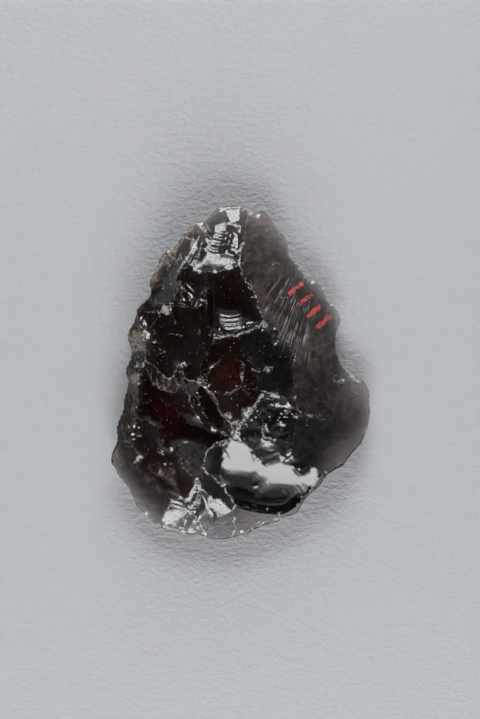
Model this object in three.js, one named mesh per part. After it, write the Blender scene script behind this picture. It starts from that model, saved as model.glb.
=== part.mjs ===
// A knapped chunk of obsidian, lying on its flatter underside.
//
// The stone is one solid. Its upper side is a net of arrises, the sharp ridges where two flake scars
// meet. Each scar is the shallow dish that hangs between its arrises. The underside rises from a flat
// resting face to the rim. Units are millimetres, +Z is up, +Y runs to the narrow end of the stone, and
// the origin is under the middle of its box, on the surface that it lies on.

import * as THREE from 'three';
import { mergeVertices } from 'three/addons/utils/BufferGeometryUtils.js';

// The driving dimensions of the stone.
const length = 66.6;
const width = 51.6;
const height = 18;

// The size that the nets below are drawn at. They are stretched to the driving dimensions.
const drawnLength = 66.6;
const drawnWidth = 51.6;
const drawnHeight = 16;

// Knots of the net that lie on the rim. The fourth number is how thick the stone is at its very edge.
const nibEast = [-7.7, 29.9, 4.6, 0.6];
const topEast = [1.4, 32.2, 3.9, 0.7];
const roughTip = [11.7, 20.4, 3.3, 0.4];
const eastPoint = [25.4, -11.2, 3.0, 0.8];
const bowlLip = [17.9, -20.0, 5.2, 1.4];
const flangeWest = [-1.7, -33.1, 3.6, 0.8];
const southTip = [-7.0, -33.1, 3.4, 0.6];
const shellEast = [-11.6, -32.2, 3.3, 0.6];
const shellWest = [-16.4, -30.5, 3.3, 0.6];
const heelSouth = [-25.8, -18.0, 5.2, 1.2];
const heelNorth = [-24.6, -13.3, 6.4, 2.0];
const bandNorth = [-20.7, 11.5, 6.6, 2.0];
const shoulderTip = [-17.9, 15.9, 6.0, 1.4];
const nibWest = [-9.0, 29.6, 4.7, 0.7];

// Knots inside the rim, each where three or more scars meet.
const topFork = [-0.2, 21.2, 9.8];
const scarKnot = [-7.0, 19.9, 11.0];
const westFork = [-9.9, 21.2, 10.4];
const longFork = [-11.7, 20.4, 10.0];
const saddleWest = [-13.4, 13.3, 10.6];
const saddleEast = [-6.7, 14.2, 12.4];
const stepEast = [4.5, 9.3, 12.9];
const stepMiddle = [-0.4, 7.5, 13.7];
const stepWest = [-5.0, 6.7, 13.9];
const summitWest = [-8.3, -1.6, 15.2];
const bandKnot = [-18.9, 2.4, 9.8];
const bandMiddle = [-20.9, -8.0, 9.3];
const heelFork = [-22.6, -13.6, 7.6];
const heelInner = [-21.6, -18.3, 6.6];
const windowNorth = [-19.6, -19.2, 6.8];
const bowlSplitTop = [-1.9, -13.0, 8.9];
const bowlSplitFoot = [-4.4, -21.9, 5.3];
const rippleWest = [-6.2, 9.0, 13.3];
const rippleEast = [4.2, 11.2, 12.4];
const redNorth = [-13.2, -14.6, 9.9];
const redMiddle = [-11.6, -17.8, 9.3];
const redSouth = [-8.8, -21.5, 8.5];
const bowlNorth = [-1.4, -12.9, 8.9];
const bowlShoulder = [-6.3, -15.0, 9.6];
const bowlWest = [-7.7, -18.6, 9.2];
const bowlNotch = [9.3, -17.7, 6.6];
const bladeSouth = [-1.1, -26.4, 4.5];
const flangeNorth = [-1.6, -28.4, 4.1];
const shellNorthEast = [-11.2, -25.2, 6.4];
const shellNorthWest = [-13.6, -25.3, 6.3];
const shellFork = [-9.8, -27.9, 5.5];
const crackSouth = [4.1, -4.4, 12.8];
const flankMiddle = [10.2, -5.0, 9.8];
const stepPoint = [13.0, -8.6, 7.9];

// The rim, clockwise as seen from above.
const rim = {
  top: [
    nibEast, [-5.6, 31.5, 4.4, 0.6], [-4.6, 32.8, 4.2, 0.6], [-3.4, 33.3, 4.1, 0.7],
    [-1.6, 33.3, 4.1, 0.7], [0.0, 32.8, 4.0, 0.7], topEast,
  ],
  upperRight: [
    topEast, [4.3, 32.1, 3.7, 0.6], [5.8, 30.6, 3.6, 0.5], [7.2, 29.0, 3.6, 0.5], [8.5, 27.2, 3.5, 0.5],
    [9.3, 25.0, 3.5, 0.4], [10.1, 22.8, 3.4, 0.4], roughTip,
  ],
  right: [
    roughTip, [13.4, 18.6, 3.2, 0.5], [14.7, 18.2, 3.2, 0.5], [16.6, 15.7, 3.2, 0.5],
    [18.5, 13.0, 3.1, 0.5], [19.8, 10.8, 3.1, 0.5], [19.9, 9.2, 3.1, 0.5], [18.8, 7.6, 3.3, 0.4],
    [18.8, 5.1, 3.4, 0.4], [19.5, 3.2, 3.3, 0.4], [20.1, 1.2, 3.2, 0.4], [21.4, -0.2, 3.1, 0.5],
    [23.4, -0.7, 3.0, 0.6], [25.0, -2.9, 2.9, 0.7], [25.8, -4.5, 2.9, 0.8], [25.6, -8.0, 2.9, 0.8],
    eastPoint,
  ],
  east: [eastPoint, [24.1, -13.5, 3.4, 1.3], [22.2, -16.4, 3.9, 1.8], [20.3, -18.2, 4.6, 1.8], bowlLip],
  flange: [
    bowlLip, [15.9, -21.9, 4.6, 0.9], [14.2, -24.1, 4.2, 0.8], [11.9, -26.4, 3.7, 0.7],
    [10.6, -28.6, 3.6, 0.7], [9.2, -28.8, 3.7, 0.7], [6.0, -30.1, 3.7, 0.7], [2.5, -31.5, 3.7, 0.7],
    [0.1, -32.5, 3.7, 0.7], flangeWest,
  ],
  south: [flangeWest, [-3.6, -33.3, 3.5, 0.7], [-5.6, -33.3, 3.4, 0.6], southTip],
  chips: [southTip, [-8.6, -32.5, 3.4, 0.6], shellEast],
  shell: [shellEast, [-14.0, -31.6, 3.3, 0.6], shellWest],
  lowLeft: [
    shellWest, [-18.1, -29.5, 3.3, 0.6], [-20.2, -27.2, 3.5, 0.6], [-21.9, -24.5, 3.8, 0.7],
    [-22.8, -22.2, 4.1, 0.8], [-24.6, -20.3, 4.5, 0.9], heelSouth,
  ],
  heel: [heelSouth, [-25.6, -16.7, 5.6, 1.5], [-25.0, -14.6, 6.1, 1.8], heelNorth],
  band: [
    heelNorth, [-24.5, -11.8, 6.6, 2.2], [-23.9, -8.7, 6.8, 2.5], [-22.7, -4.7, 7.0, 2.7],
    [-22.5, -1.9, 7.0, 2.8], [-22.7, -0.1, 7.0, 2.8], [-21.9, 2.8, 7.0, 2.8], [-22.1, 6.6, 6.9, 2.6],
    [-22.1, 8.4, 6.8, 2.4], bandNorth,
  ],
  shoulder: [bandNorth, [-20.4, 12.5, 6.4, 1.8], [-18.8, 14.5, 6.2, 1.6], shoulderTip],
  upperLeft: [
    shoulderTip, [-17.8, 18.5, 5.8, 1.3], [-16.7, 21.4, 5.5, 1.2], [-15.0, 23.8, 5.3, 1.1],
    [-13.1, 25.4, 5.1, 1.0], [-11.0, 27.9, 4.9, 0.8], nibWest,
  ],
  nib: [nibWest, nibEast],
};

// The arrises inside the rim, each from knot to knot.
const arris = {
  topRidge: [topEast, [1.0, 29.5, 5.2], [0.6, 27.0, 6.6], [0.2, 24.2, 8.3], topFork],
  scarEnd: [topFork, [-2.5, 20.3, 10.3], [-5.0, 19.7, 10.7], scarKnot],
  scarEndWest: [scarKnot, [-8.4, 19.8, 11.0], westFork],
  topLeft: [westFork, [-8.9, 23.0, 9.5], [-7.6, 25.4, 8.0], [-6.9, 27.3, 6.4], nibEast],
  link: [westFork, longFork],
  longRidge: [longFork, [-10.2, 23.6, 8.8], [-9.4, 26.5, 7.2], nibWest],
  westRidge: [longFork, [-12.6, 18.6, 10.1], [-12.9, 15.5, 10.4], saddleWest],
  shoulder: [saddleWest, [-15.8, 13.6, 9.0], [-17.0, 14.5, 7.0], shoulderTip],
  bowlLeftUpper: [scarKnot, [-6.9, 17.0, 11.7], saddleEast],
  saddleFoot: [saddleEast, [-8.5, 12.9, 12.6], [-10.5, 12.8, 11.8], saddleWest],
  bowlLeftLower: [saddleEast, [-6.6, 11.8, 12.9], rippleWest],
  bowlLeftFoot: [rippleWest, [-6.0, 7.7, 13.6], stepWest],
  bowlRight: [
    topFork, [0.2, 19.2, 10.2], [1.3, 17.9, 10.6], [2.6, 15.2, 11.2], [3.6, 12.8, 12.0], rippleEast,
  ],
  bowlRightFoot: [rippleEast, stepEast],
  rippleFloor: [
    rippleWest, [-5.3, 8.7, 12.6], [-3.4, 7.9, 12.2], [-1.2, 8.3, 12.1], [0.8, 9.0, 12.0],
    [2.8, 9.9, 11.9], rippleEast,
  ],
  stepEastHalf: [stepEast, [3.0, 8.8, 13.2], [0.8, 7.9, 13.7], stepMiddle],
  stepWestHalf: [stepMiddle, [-1.2, 7.3, 13.9], [-3.2, 6.9, 13.9], stepWest],
  crest: [stepWest, [-6.5, 4.0, 14.4], [-7.6, 1.0, 14.9], summitWest],
  wavyRidge: [
    summitWest, [-10.3, -1.2, 14.3], [-11.3, 0.0, 13.8], [-12.0, 1.4, 13.4], [-12.8, 0.0, 13.0],
    [-14.1, -1.0, 12.3], [-15.3, -0.4, 11.6], [-16.6, 0.6, 10.9], [-17.3, 1.6, 10.5], bandKnot,
  ],
  bandUpper: [bandKnot, [-18.9, 4.0, 9.8], [-19.1, 6.2, 9.6], [-19.7, 8.4, 8.9], bandNorth],
  bandMid: [bandKnot, [-19.6, 1.0, 9.6], [-20.2, -2.0, 9.6], [-20.3, -5.0, 9.5], bandMiddle],
  bandLower: [bandMiddle, [-21.3, -11.0, 8.5], heelFork],
  heelLine: [redNorth, [-15.0, -14.3, 10.1], [-17.0, -10.6, 9.8], bandMiddle],
  heelTop: [heelFork, heelNorth],
  heelSide: [heelFork, [-20.7, -15.2, 7.9], [-20.8, -17.0, 7.3], heelInner],
  heelFoot: [heelInner, heelSouth],
  summitEdge: [
    summitWest, [-6.4, -3.3, 15.8], [-5.2, -4.6, 16.0], [-4.4, -6.9, 15.3], [-3.0, -8.6, 14.1],
    [-1.9, -10.6, 11.8], bowlNorth,
  ],
  summitFoot: [
    summitWest, [-8.6, -4.0, 13.0], [-7.9, -6.6, 11.5], [-6.6, -9.2, 10.4], [-4.8, -11.5, 9.4],
    bowlSplitTop,
  ],
  bowlTopLink: [bowlNorth, bowlSplitTop],
  bowlTopWest: [bowlSplitTop, [-4.6, -13.8, 9.3], bowlShoulder],
  bowlSplit: [bowlSplitTop, [-2.9, -15.6, 7.7], [-3.8, -18.2, 6.5], bowlSplitFoot],
  bowlSide: [bowlShoulder, [-7.2, -16.8, 9.4], bowlWest],
  darkStrip: [bowlShoulder, [-8.2, -14.2, 9.5], [-10.6, -14.0, 9.7], redNorth],
  redUpper: [redNorth, redMiddle],
  redLower: [redMiddle, [-10.0, -20.4, 8.7], redSouth],
  windowTop: [redMiddle, [-13.2, -17.9, 8.9], [-15.2, -17.8, 8.4], [-17.2, -17.9, 7.8], windowNorth],
  windowLink: [windowNorth, heelInner],
  windowLine: [windowNorth, [-16.0, -22.6, 6.9], shellNorthWest],
  windowEast: [redSouth, [-10.3, -23.8, 7.4], shellNorthEast],
  shellTop: [shellNorthEast, [-12.2, -24.9, 6.4], shellNorthWest],
  shellLeft: [shellNorthWest, [-14.7, -26.9, 5.6], [-15.5, -28.6, 4.6], shellWest],
  shellRight: [shellNorthEast, [-10.4, -26.4, 6.2], shellFork],
  chipsLeft: [shellFork, [-10.7, -29.2, 4.9], [-11.4, -30.8, 4.3], shellEast],
  chipsRight: [shellFork, [-8.9, -29.1, 4.6], [-8.1, -30.5, 4.0], [-7.4, -32.0, 3.6], southTip],
  tongueLeft: [redSouth, [-9.0, -24.0, 7.4], [-9.4, -26.2, 6.3], shellFork],
  tongueRight: [
    redSouth, [-7.0, -23.6, 7.1], [-5.6, -25.1, 6.1], [-4.0, -25.4, 5.6], [-2.6, -26.7, 4.8],
    flangeNorth,
  ],
  flangeLeft: [flangeNorth, [-1.2, -30.8, 3.9], flangeWest],
  flangeLink: [flangeNorth, bladeSouth],
  blade: [bowlWest, [-6.1, -20.3, 7.4], bowlSplitFoot],
  bladeFoot: [bowlSplitFoot, [-2.9, -24.0, 4.6], bladeSouth],
  bladeTop: [bowlWest, redSouth],
  bowlFoot: [
    bladeSouth, [1.0, -27.0, 4.4], [5.4, -28.0, 4.0], [8.9, -28.0, 3.7], [12.0, -25.9, 3.5],
    [13.9, -23.4, 3.95], [15.4, -21.4, 4.55], [16.6, -20.3, 5.0], bowlLip,
  ],
  bowlTopMiddle: [
    bowlNorth, [0.2, -13.9, 8.4], [1.6, -14.9, 7.9], [3.0, -16.6, 7.3], [4.5, -18.3, 6.7],
    [6.0, -18.6, 6.5], [7.8, -17.6, 6.7], bowlNotch,
  ],
  bowlTopEast: [bowlNotch, [10.4, -18.4, 6.6], [11.7, -19.2, 6.4], [14.2, -18.8, 6.1], bowlLip],
  roughEdge: [stepPoint, [13.8, -2.5, 7.4], [14.4, 4.0, 6.9], [13.2, 12.0, 6.2], roughTip],
  facetFold: [stepPoint, [16.8, -9.4, 6.3], [21.0, -9.5, 4.7], eastPoint],
  flankLower: [bowlNotch, [10.0, -15.0, 8.1], [10.6, -12.0, 8.7], [11.0, -9.6, 8.9], stepPoint],
  flankMid: [stepPoint, [11.4, -7.4, 8.9], flankMiddle],
  flankUpper: [
    flankMiddle, [10.3, -2.0, 10.0], [11.0, 0.4, 9.6], [10.6, 2.5, 10.1], [10.0, 4.4, 10.4],
    [9.4, 6.1, 10.8], [7.7, 7.4, 11.7], [6.4, 8.3, 12.2], stepEast,
  ],
  crack: [stepMiddle, [0.1, 4.6, 13.9], [2.1, 0.8, 13.6], [3.1, -2.0, 13.3], crackSouth],
  crackFoot: [crackSouth, [7.4, -4.6, 11.4], flankMiddle],
  stairs: [crackSouth, [2.4, -7.0, 12.4], [1.0, -8.8, 11.6], [-0.6, -10.8, 10.3], bowlNorth],
};

// A line of the net walked the other way.
const back = (line) => [...line].reverse();

// The scars, each bounded clockwise as seen from above. A scar with a dish point is hollow there.
const scars = [
  { edge: [rim.top, arris.topRidge, arris.scarEnd, arris.scarEndWest, arris.topLeft],
    dish: [-3.4, 26.0, 7.5] },
  { edge: [rim.nib, back(arris.topLeft), arris.link, arris.longRidge] },
  { edge: [rim.upperLeft, back(arris.longRidge), arris.westRidge, arris.shoulder],
    dish: [-14.0, 19.6, 7.6] },
  { edge: [back(arris.scarEndWest), arris.bowlLeftUpper, arris.saddleFoot, back(arris.westRidge),
    back(arris.link)], dish: [-9.8, 16.6, 10.6] },
  { edge: [back(arris.scarEnd), arris.bowlRight, back(arris.rippleFloor), back(arris.bowlLeftLower),
    back(arris.bowlLeftUpper)], dish: [-1.6, 13.8, 10.2] },
  { edge: [back(arris.bowlLeftFoot), arris.rippleFloor, arris.bowlRightFoot, arris.stepEastHalf,
    arris.stepWestHalf] },
  { edge: [rim.shoulder, back(arris.shoulder), back(arris.saddleFoot), arris.bowlLeftLower,
    arris.bowlLeftFoot, arris.crest, arris.wavyRidge, arris.bandUpper], dish: [-13.2, 7.2, 10.5] },
  { edge: [rim.band, back(arris.bandUpper), arris.bandMid, arris.bandLower, arris.heelTop] },
  { edge: [rim.heel, back(arris.heelTop), arris.heelSide, arris.heelFoot] },
  { edge: [back(arris.wavyRidge), arris.summitFoot, arris.bowlTopWest, arris.darkStrip, arris.heelLine,
    back(arris.bandMid)], dish: [-12.6, -7.6, 9.4] },
  { edge: [arris.summitEdge, arris.bowlTopLink, back(arris.summitFoot)] },
  { edge: [back(arris.bandLower), back(arris.heelLine), arris.redUpper, arris.windowTop,
    arris.windowLink, back(arris.heelSide)], dish: [-17.5, -15.2, 8.0] },
  { edge: [arris.bowlSide, arris.bladeTop, back(arris.redLower), back(arris.redUpper),
    back(arris.darkStrip)], dish: [-9.4, -17.4, 9.2] },
  { edge: [arris.redLower, arris.windowEast, arris.shellTop, back(arris.windowLine),
    back(arris.windowTop)], dish: [-14.2, -21.2, 7.2] },
  { edge: [rim.lowLeft, back(arris.heelFoot), back(arris.windowLink), arris.windowLine, arris.shellLeft],
    dish: [-19.6, -24.2, 4.4] },
  { edge: [rim.shell, back(arris.shellLeft), back(arris.shellTop), arris.shellRight, arris.chipsLeft],
    dish: [-12.8, -28.6, 4.9] },
  { edge: [rim.chips, back(arris.chipsLeft), arris.chipsRight] },
  { edge: [rim.south, back(arris.chipsRight), back(arris.tongueLeft), arris.tongueRight,
    arris.flangeLeft], dish: [-5.2, -28.6, 4.2] },
  { edge: [back(arris.windowEast), arris.tongueLeft, back(arris.shellRight)] },
  { edge: [back(arris.tongueRight), back(arris.bladeTop), arris.blade, arris.bladeFoot,
    back(arris.flangeLink)] },
  { edge: [rim.flange, back(arris.flangeLeft), arris.flangeLink, arris.bowlFoot] },
  { edge: [back(arris.bowlTopWest), arris.bowlSplit, back(arris.blade), back(arris.bowlSide)] },
  { edge: [back(arris.bowlTopLink), arris.bowlTopMiddle, arris.bowlTopEast, back(arris.bowlFoot),
    back(arris.bladeFoot), back(arris.bowlSplit)], dish: [4.2, -22.0, 5.1] },
  { edge: [rim.east, back(arris.bowlTopEast), arris.flankLower, arris.facetFold],
    dish: [15.4, -14.2, 5.9] },
  { edge: [rim.upperRight, back(arris.roughEdge), arris.flankMid, arris.flankUpper,
    back(arris.bowlRightFoot), back(arris.bowlRight), back(arris.topRidge)] },
  { edge: [rim.right, back(arris.facetFold), arris.roughEdge] },
  { edge: [back(arris.stepEastHalf), back(arris.flankUpper), back(arris.crackFoot), back(arris.crack)],
    dish: [6.0, 2.4, 11.1] },
  { edge: [back(arris.bowlTopMiddle), back(arris.stairs), arris.crackFoot, back(arris.flankMid),
    back(arris.flankLower)], dish: [6.4, -10.6, 8.6] },
  { edge: [back(arris.stepWestHalf), arris.crack, arris.stairs, back(arris.summitEdge),
    back(arris.crest)], dish: [-2.2, 0.2, 13.8] },
];

// The flat face that the stone lies on, clockwise as seen from above, at height 0. It starts near the
// start of the rim, and both are walked the same way round.
const restingFace = [
  [-7, 16.5], [-3, 18], [1, 17], [4, 15], [7, 10.5], [9, 6], [10.5, 1], [11, -4], [10, -9.5], [8, -14],
  [4.5, -17.5], [0, -20], [-5, -20], [-9, -19], [-12.5, -16], [-15, -12], [-16, -7], [-16, -2],
  [-15, 3], [-13, 8], [-10.5, 12.5],
];

// The corners of all the triangles, three numbers a corner, three corners a triangle.
const corners = [];

function addTriangle(a, b, c) {
  for (const point of [a, b, c]) {
    const x = point[0] * width / drawnWidth;
    const y = point[1] * length / drawnLength;
    const z = point[2] * height / drawnHeight;
    corners.push(x, y, z);
  }
}

// Lines laid end to end as one loop, each knot once.
function loopOf(lines) {
  return lines.flatMap((line) => line.slice(0, -1));
}

// A loop filled with triangles in plan.
function fill(loop, facingUp) {
  const plan = loop.map((point) => new THREE.Vector2(point[0], point[1]));
  for (const [a, b, c] of THREE.ShapeUtils.triangulateShape(plan, [])) {
    const [p, q, r] = [loop[a], loop[b], loop[c]];
    const turn = (q[0] - p[0]) * (r[1] - p[1]) - (q[1] - p[1]) * (r[0] - p[0]);
    if ((turn > 0) === facingUp) addTriangle(p, q, r);
    else addTriangle(p, r, q);
  }
}

// The upper side: a hollow scar is a fan about its dish point, and a plain one is filled flat.
function addScar({ edge, dish }) {
  const loop = loopOf(edge);
  if (!dish) {
    fill(loop, true);
    return;
  }
  loop.forEach((point, index) => {
    const next = loop[(index + 1) % loop.length];
    addTriangle(dish, next, point);
  });
}
scars.forEach(addScar);

// The edge of the stone, as thick as the fourth number of each rim point says.
const rimLoop = loopOf(Object.values(rim));
const under = rimLoop.map(([x, y, z, thickness]) => [x, y, z - thickness]);
rimLoop.forEach((point, index) => {
  const next = (index + 1) % rimLoop.length;
  addTriangle(point, rimLoop[next], under[next]);
  addTriangle(point, under[next], under[index]);
});

// The underside: the flat resting face, and the ring that rises from it to the rim. The ring is walked
// once round, and each step moves on along the line whose next point is nearer.
const foot = restingFace.map(([x, y]) => [x, y, 0]);
fill(foot, false);

function gap(a, b) {
  return Math.hypot(a[0] - b[0], a[1] - b[1]);
}

let outer = 0;
let inner = 0;
while (outer < under.length || inner < foot.length) {
  const rimPoint = under[outer % under.length];
  const rimNext = under[(outer + 1) % under.length];
  const footPoint = foot[inner % foot.length];
  const footNext = foot[(inner + 1) % foot.length];
  const alongRim = outer < under.length && gap(rimNext, footPoint) <= gap(rimPoint, footNext);
  if (alongRim || inner === foot.length) {
    addTriangle(rimPoint, rimNext, footPoint);
    outer += 1;
  } else {
    addTriangle(rimPoint, footNext, footPoint);
    inner += 1;
  }
}

const shape = new THREE.BufferGeometry();
shape.setAttribute('position', new THREE.Float32BufferAttribute(corners, 3));

const volcanicGlass = new THREE.MeshStandardMaterial({ color: 0x1a1615, roughness: 0.08, metalness: 0 });
volcanicGlass.flatShading = true;

const stone = new THREE.Mesh(mergeVertices(shape), volcanicGlass);
stone.name = 'obsidian_chunk';

const model = new THREE.Group();
model.add(stone);

export default model;
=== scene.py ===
# %% [markdown]
# # A knapped chunk of obsidian
# Obsidian is volcanic glass. It breaks like a thick bottle: every blow lifts off a flake and leaves a
# shallow dish, called a scar, with ripples that run outward from the point that was struck. Where two
# scars meet there is a sharp ridge, called an arris. This lesson builds one such stone from its arrises:
# the ridges are drawn first, a dish is hung between them, and small damage is added last.
#
# The first cell loads the plain model that fixes the size and the place of everything.

# %% Load the frame
import math
import time

import bpy
import numpy as np
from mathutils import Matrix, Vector
from mathutils.geometry import delaunay_2d_cdt
from mathutils.kdtree import KDTree


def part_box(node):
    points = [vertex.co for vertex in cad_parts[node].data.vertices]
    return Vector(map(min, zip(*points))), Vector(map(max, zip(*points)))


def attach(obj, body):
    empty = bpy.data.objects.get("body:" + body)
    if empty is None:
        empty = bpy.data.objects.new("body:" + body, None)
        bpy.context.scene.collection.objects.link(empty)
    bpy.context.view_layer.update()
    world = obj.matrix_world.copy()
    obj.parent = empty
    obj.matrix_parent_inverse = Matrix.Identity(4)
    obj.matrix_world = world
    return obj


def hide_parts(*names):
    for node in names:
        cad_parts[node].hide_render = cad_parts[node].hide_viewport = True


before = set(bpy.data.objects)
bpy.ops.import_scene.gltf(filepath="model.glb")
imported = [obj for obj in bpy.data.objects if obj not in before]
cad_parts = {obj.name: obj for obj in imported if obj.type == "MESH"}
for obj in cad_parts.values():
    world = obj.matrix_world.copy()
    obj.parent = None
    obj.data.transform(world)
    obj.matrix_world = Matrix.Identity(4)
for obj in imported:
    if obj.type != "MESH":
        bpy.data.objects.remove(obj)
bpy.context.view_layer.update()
started = time.time()
NODE = "obsidian_chunk"
MM = 0.001
low, high = (np.array(corner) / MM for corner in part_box(NODE))
DRAWN_HEIGHT = 16.0
stretch = high[2] / DRAWN_HEIGHT
print("plain box in millimetres", low.round(2), high.round(2), "stretch in height", stretch)

# %% [markdown]
# ## The net of arrises
# A knapper draws a stone as a net of ridge lines. Each knot is a place where three or more scars meet,
# given as x, y and height in millimetres. A knot on the rim has a fourth number, the thickness of the
# stone at its very edge. The heights are drawn for a stone 16 mm high, and one stretch at the end brings
# them to the height of the plain model. A net is easier to steer than a sculpted lump, because every
# ridge of the real stone can be put where it is, and the scars between them follow by themselves.

# %% Knots on the rim
nib_east = (-7.7, 29.9, 4.6, 0.6)
top_east = (1.4, 32.2, 3.9, 0.7)
rough_tip = (11.7, 20.4, 3.3, 0.4)
east_point = (25.4, -11.2, 3.0, 0.8)
bowl_lip = (17.9, -20.0, 5.2, 1.4)
flange_west = (-1.7, -33.1, 3.6, 0.8)
south_tip = (-7.0, -33.1, 3.4, 0.6)
shell_east = (-11.6, -32.2, 3.3, 0.6)
shell_west = (-16.4, -30.5, 3.3, 0.6)
heel_south = (-25.8, -18.0, 5.2, 1.2)
heel_north = (-24.6, -13.3, 6.4, 2.0)
band_north = (-20.7, 11.5, 6.6, 2.0)
shoulder_tip = (-17.9, 15.9, 6.0, 1.4)
nib_west = (-9.0, 29.6, 4.7, 0.7)
print("a knot on the rim, with its thickness", nib_east)

# %% Knots inside the rim
top_fork = (-0.2, 21.2, 9.8)
scar_knot = (-7.0, 19.9, 11.0)
west_fork = (-9.9, 21.2, 10.4)
long_fork = (-11.7, 20.4, 10.0)
saddle_west = (-13.4, 13.3, 10.6)
saddle_east = (-6.7, 14.2, 12.4)
step_east = (4.5, 9.3, 12.9)
step_middle = (-0.4, 7.5, 13.7)
step_west = (-5.0, 6.7, 13.9)
summit_west = (-8.3, -1.6, 15.2)
band_knot = (-18.9, 2.4, 9.8)
band_middle = (-20.9, -8.0, 9.3)
heel_fork = (-22.6, -13.6, 7.6)
heel_inner = (-21.6, -18.3, 6.6)
window_north = (-19.6, -19.2, 6.8)
bowl_split_top = (-1.9, -13.0, 8.9)
bowl_split_foot = (-4.4, -21.9, 5.3)
ripple_west = (-6.2, 9.0, 13.3)
ripple_east = (4.2, 11.2, 12.4)
red_north = (-13.2, -14.6, 9.9)
red_middle = (-11.6, -17.8, 9.3)
red_south = (-8.8, -21.5, 8.5)
bowl_north = (-1.4, -12.9, 8.9)
bowl_shoulder = (-6.3, -15.0, 9.6)
bowl_west = (-7.7, -18.6, 9.2)
bowl_notch = (9.3, -17.7, 6.6)
blade_south = (-1.1, -26.4, 4.5)
flange_north = (-1.6, -28.4, 4.1)
shell_north_east = (-11.2, -25.2, 6.4)
shell_north_west = (-13.6, -25.3, 6.3)
shell_fork = (-9.8, -27.9, 5.5)
crack_south = (4.1, -4.4, 12.8)
flank_middle = (10.2, -5.0, 9.8)
step_point = (13.0, -8.6, 7.9)
print("a knot inside the rim", top_fork)

# %% [markdown]
# ## The outline
# The rim runs once round the stone. Its kinks are the places where scars run out at the edge, so many of
# its points are knots of the net. The points between them carry the same four numbers.

# %% The rim, clockwise as seen from above
rim_line = [
    nib_east, (-5.6, 31.5, 4.4, 0.6), (-4.6, 32.8, 4.2, 0.6), (-3.4, 33.3, 4.1, 0.7),
    (-1.6, 33.3, 4.1, 0.7), (0.0, 32.8, 4.0, 0.7), top_east,
    (4.3, 32.1, 3.7, 0.6), (5.8, 30.6, 3.6, 0.5), (7.2, 29.0, 3.6, 0.5), (8.5, 27.2, 3.5, 0.5),
    (9.3, 25.0, 3.5, 0.4), (10.1, 22.8, 3.4, 0.4), rough_tip,
    (13.4, 18.6, 3.2, 0.5), (14.7, 18.2, 3.2, 0.5), (16.6, 15.7, 3.2, 0.5), (18.5, 13.0, 3.1, 0.5),
    (19.8, 10.8, 3.1, 0.5), (19.9, 9.2, 3.1, 0.5), (18.8, 7.6, 3.3, 0.4), (18.8, 5.1, 3.4, 0.4),
    (19.5, 3.2, 3.3, 0.4), (20.1, 1.2, 3.2, 0.4), (21.4, -0.2, 3.1, 0.5), (23.4, -0.7, 3.0, 0.6),
    (25.0, -2.9, 2.9, 0.7), (25.8, -4.5, 2.9, 0.8), (25.6, -8.0, 2.9, 0.8), east_point,
    (24.1, -13.5, 3.4, 1.3), (22.2, -16.4, 3.9, 1.8), (20.3, -18.2, 4.6, 1.8), bowl_lip,
    (15.9, -21.9, 4.6, 0.9), (14.2, -24.1, 4.2, 0.8), (11.9, -26.4, 3.7, 0.7), (10.6, -28.6, 3.6, 0.7),
    (9.2, -28.8, 3.7, 0.7), (6.0, -30.1, 3.7, 0.7), (2.5, -31.5, 3.7, 0.7), (0.1, -32.5, 3.7, 0.7),
    flange_west, (-3.6, -33.3, 3.5, 0.7), (-5.6, -33.3, 3.4, 0.6), south_tip,
    (-8.6, -32.5, 3.4, 0.6), shell_east, (-14.0, -31.6, 3.3, 0.6), shell_west,
    (-18.1, -29.5, 3.3, 0.6), (-20.2, -27.2, 3.5, 0.6), (-21.9, -24.5, 3.8, 0.7),
    (-22.8, -22.2, 4.1, 0.8), (-24.6, -20.3, 4.5, 0.9), heel_south,
    (-25.6, -16.7, 5.6, 1.5), (-25.0, -14.6, 6.1, 1.8), heel_north,
    (-24.5, -11.8, 6.6, 2.2), (-23.9, -8.7, 6.8, 2.5), (-22.7, -4.7, 7.0, 2.7), (-22.5, -1.9, 7.0, 2.8),
    (-22.7, -0.1, 7.0, 2.8), (-21.9, 2.8, 7.0, 2.8), (-22.1, 6.6, 6.9, 2.6), (-22.1, 8.4, 6.8, 2.4),
    band_north, (-20.4, 12.5, 6.4, 1.8), (-18.8, 14.5, 6.2, 1.6), shoulder_tip,
    (-17.8, 18.5, 5.8, 1.3), (-16.7, 21.4, 5.5, 1.2), (-15.0, 23.8, 5.3, 1.1), (-13.1, 25.4, 5.1, 1.0),
    (-11.0, 27.9, 4.9, 0.8), nib_west,
]
print("points on the outline", len(rim_line))

# %% [markdown]
# ## The ridges
# Every arris starts and ends on a knot, so the ones that share a knot meet exactly there. The points
# between follow the ridge as it bends and sinks. Each line has a name, so that one of them can later be
# chipped or crushed more than the others.

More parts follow.
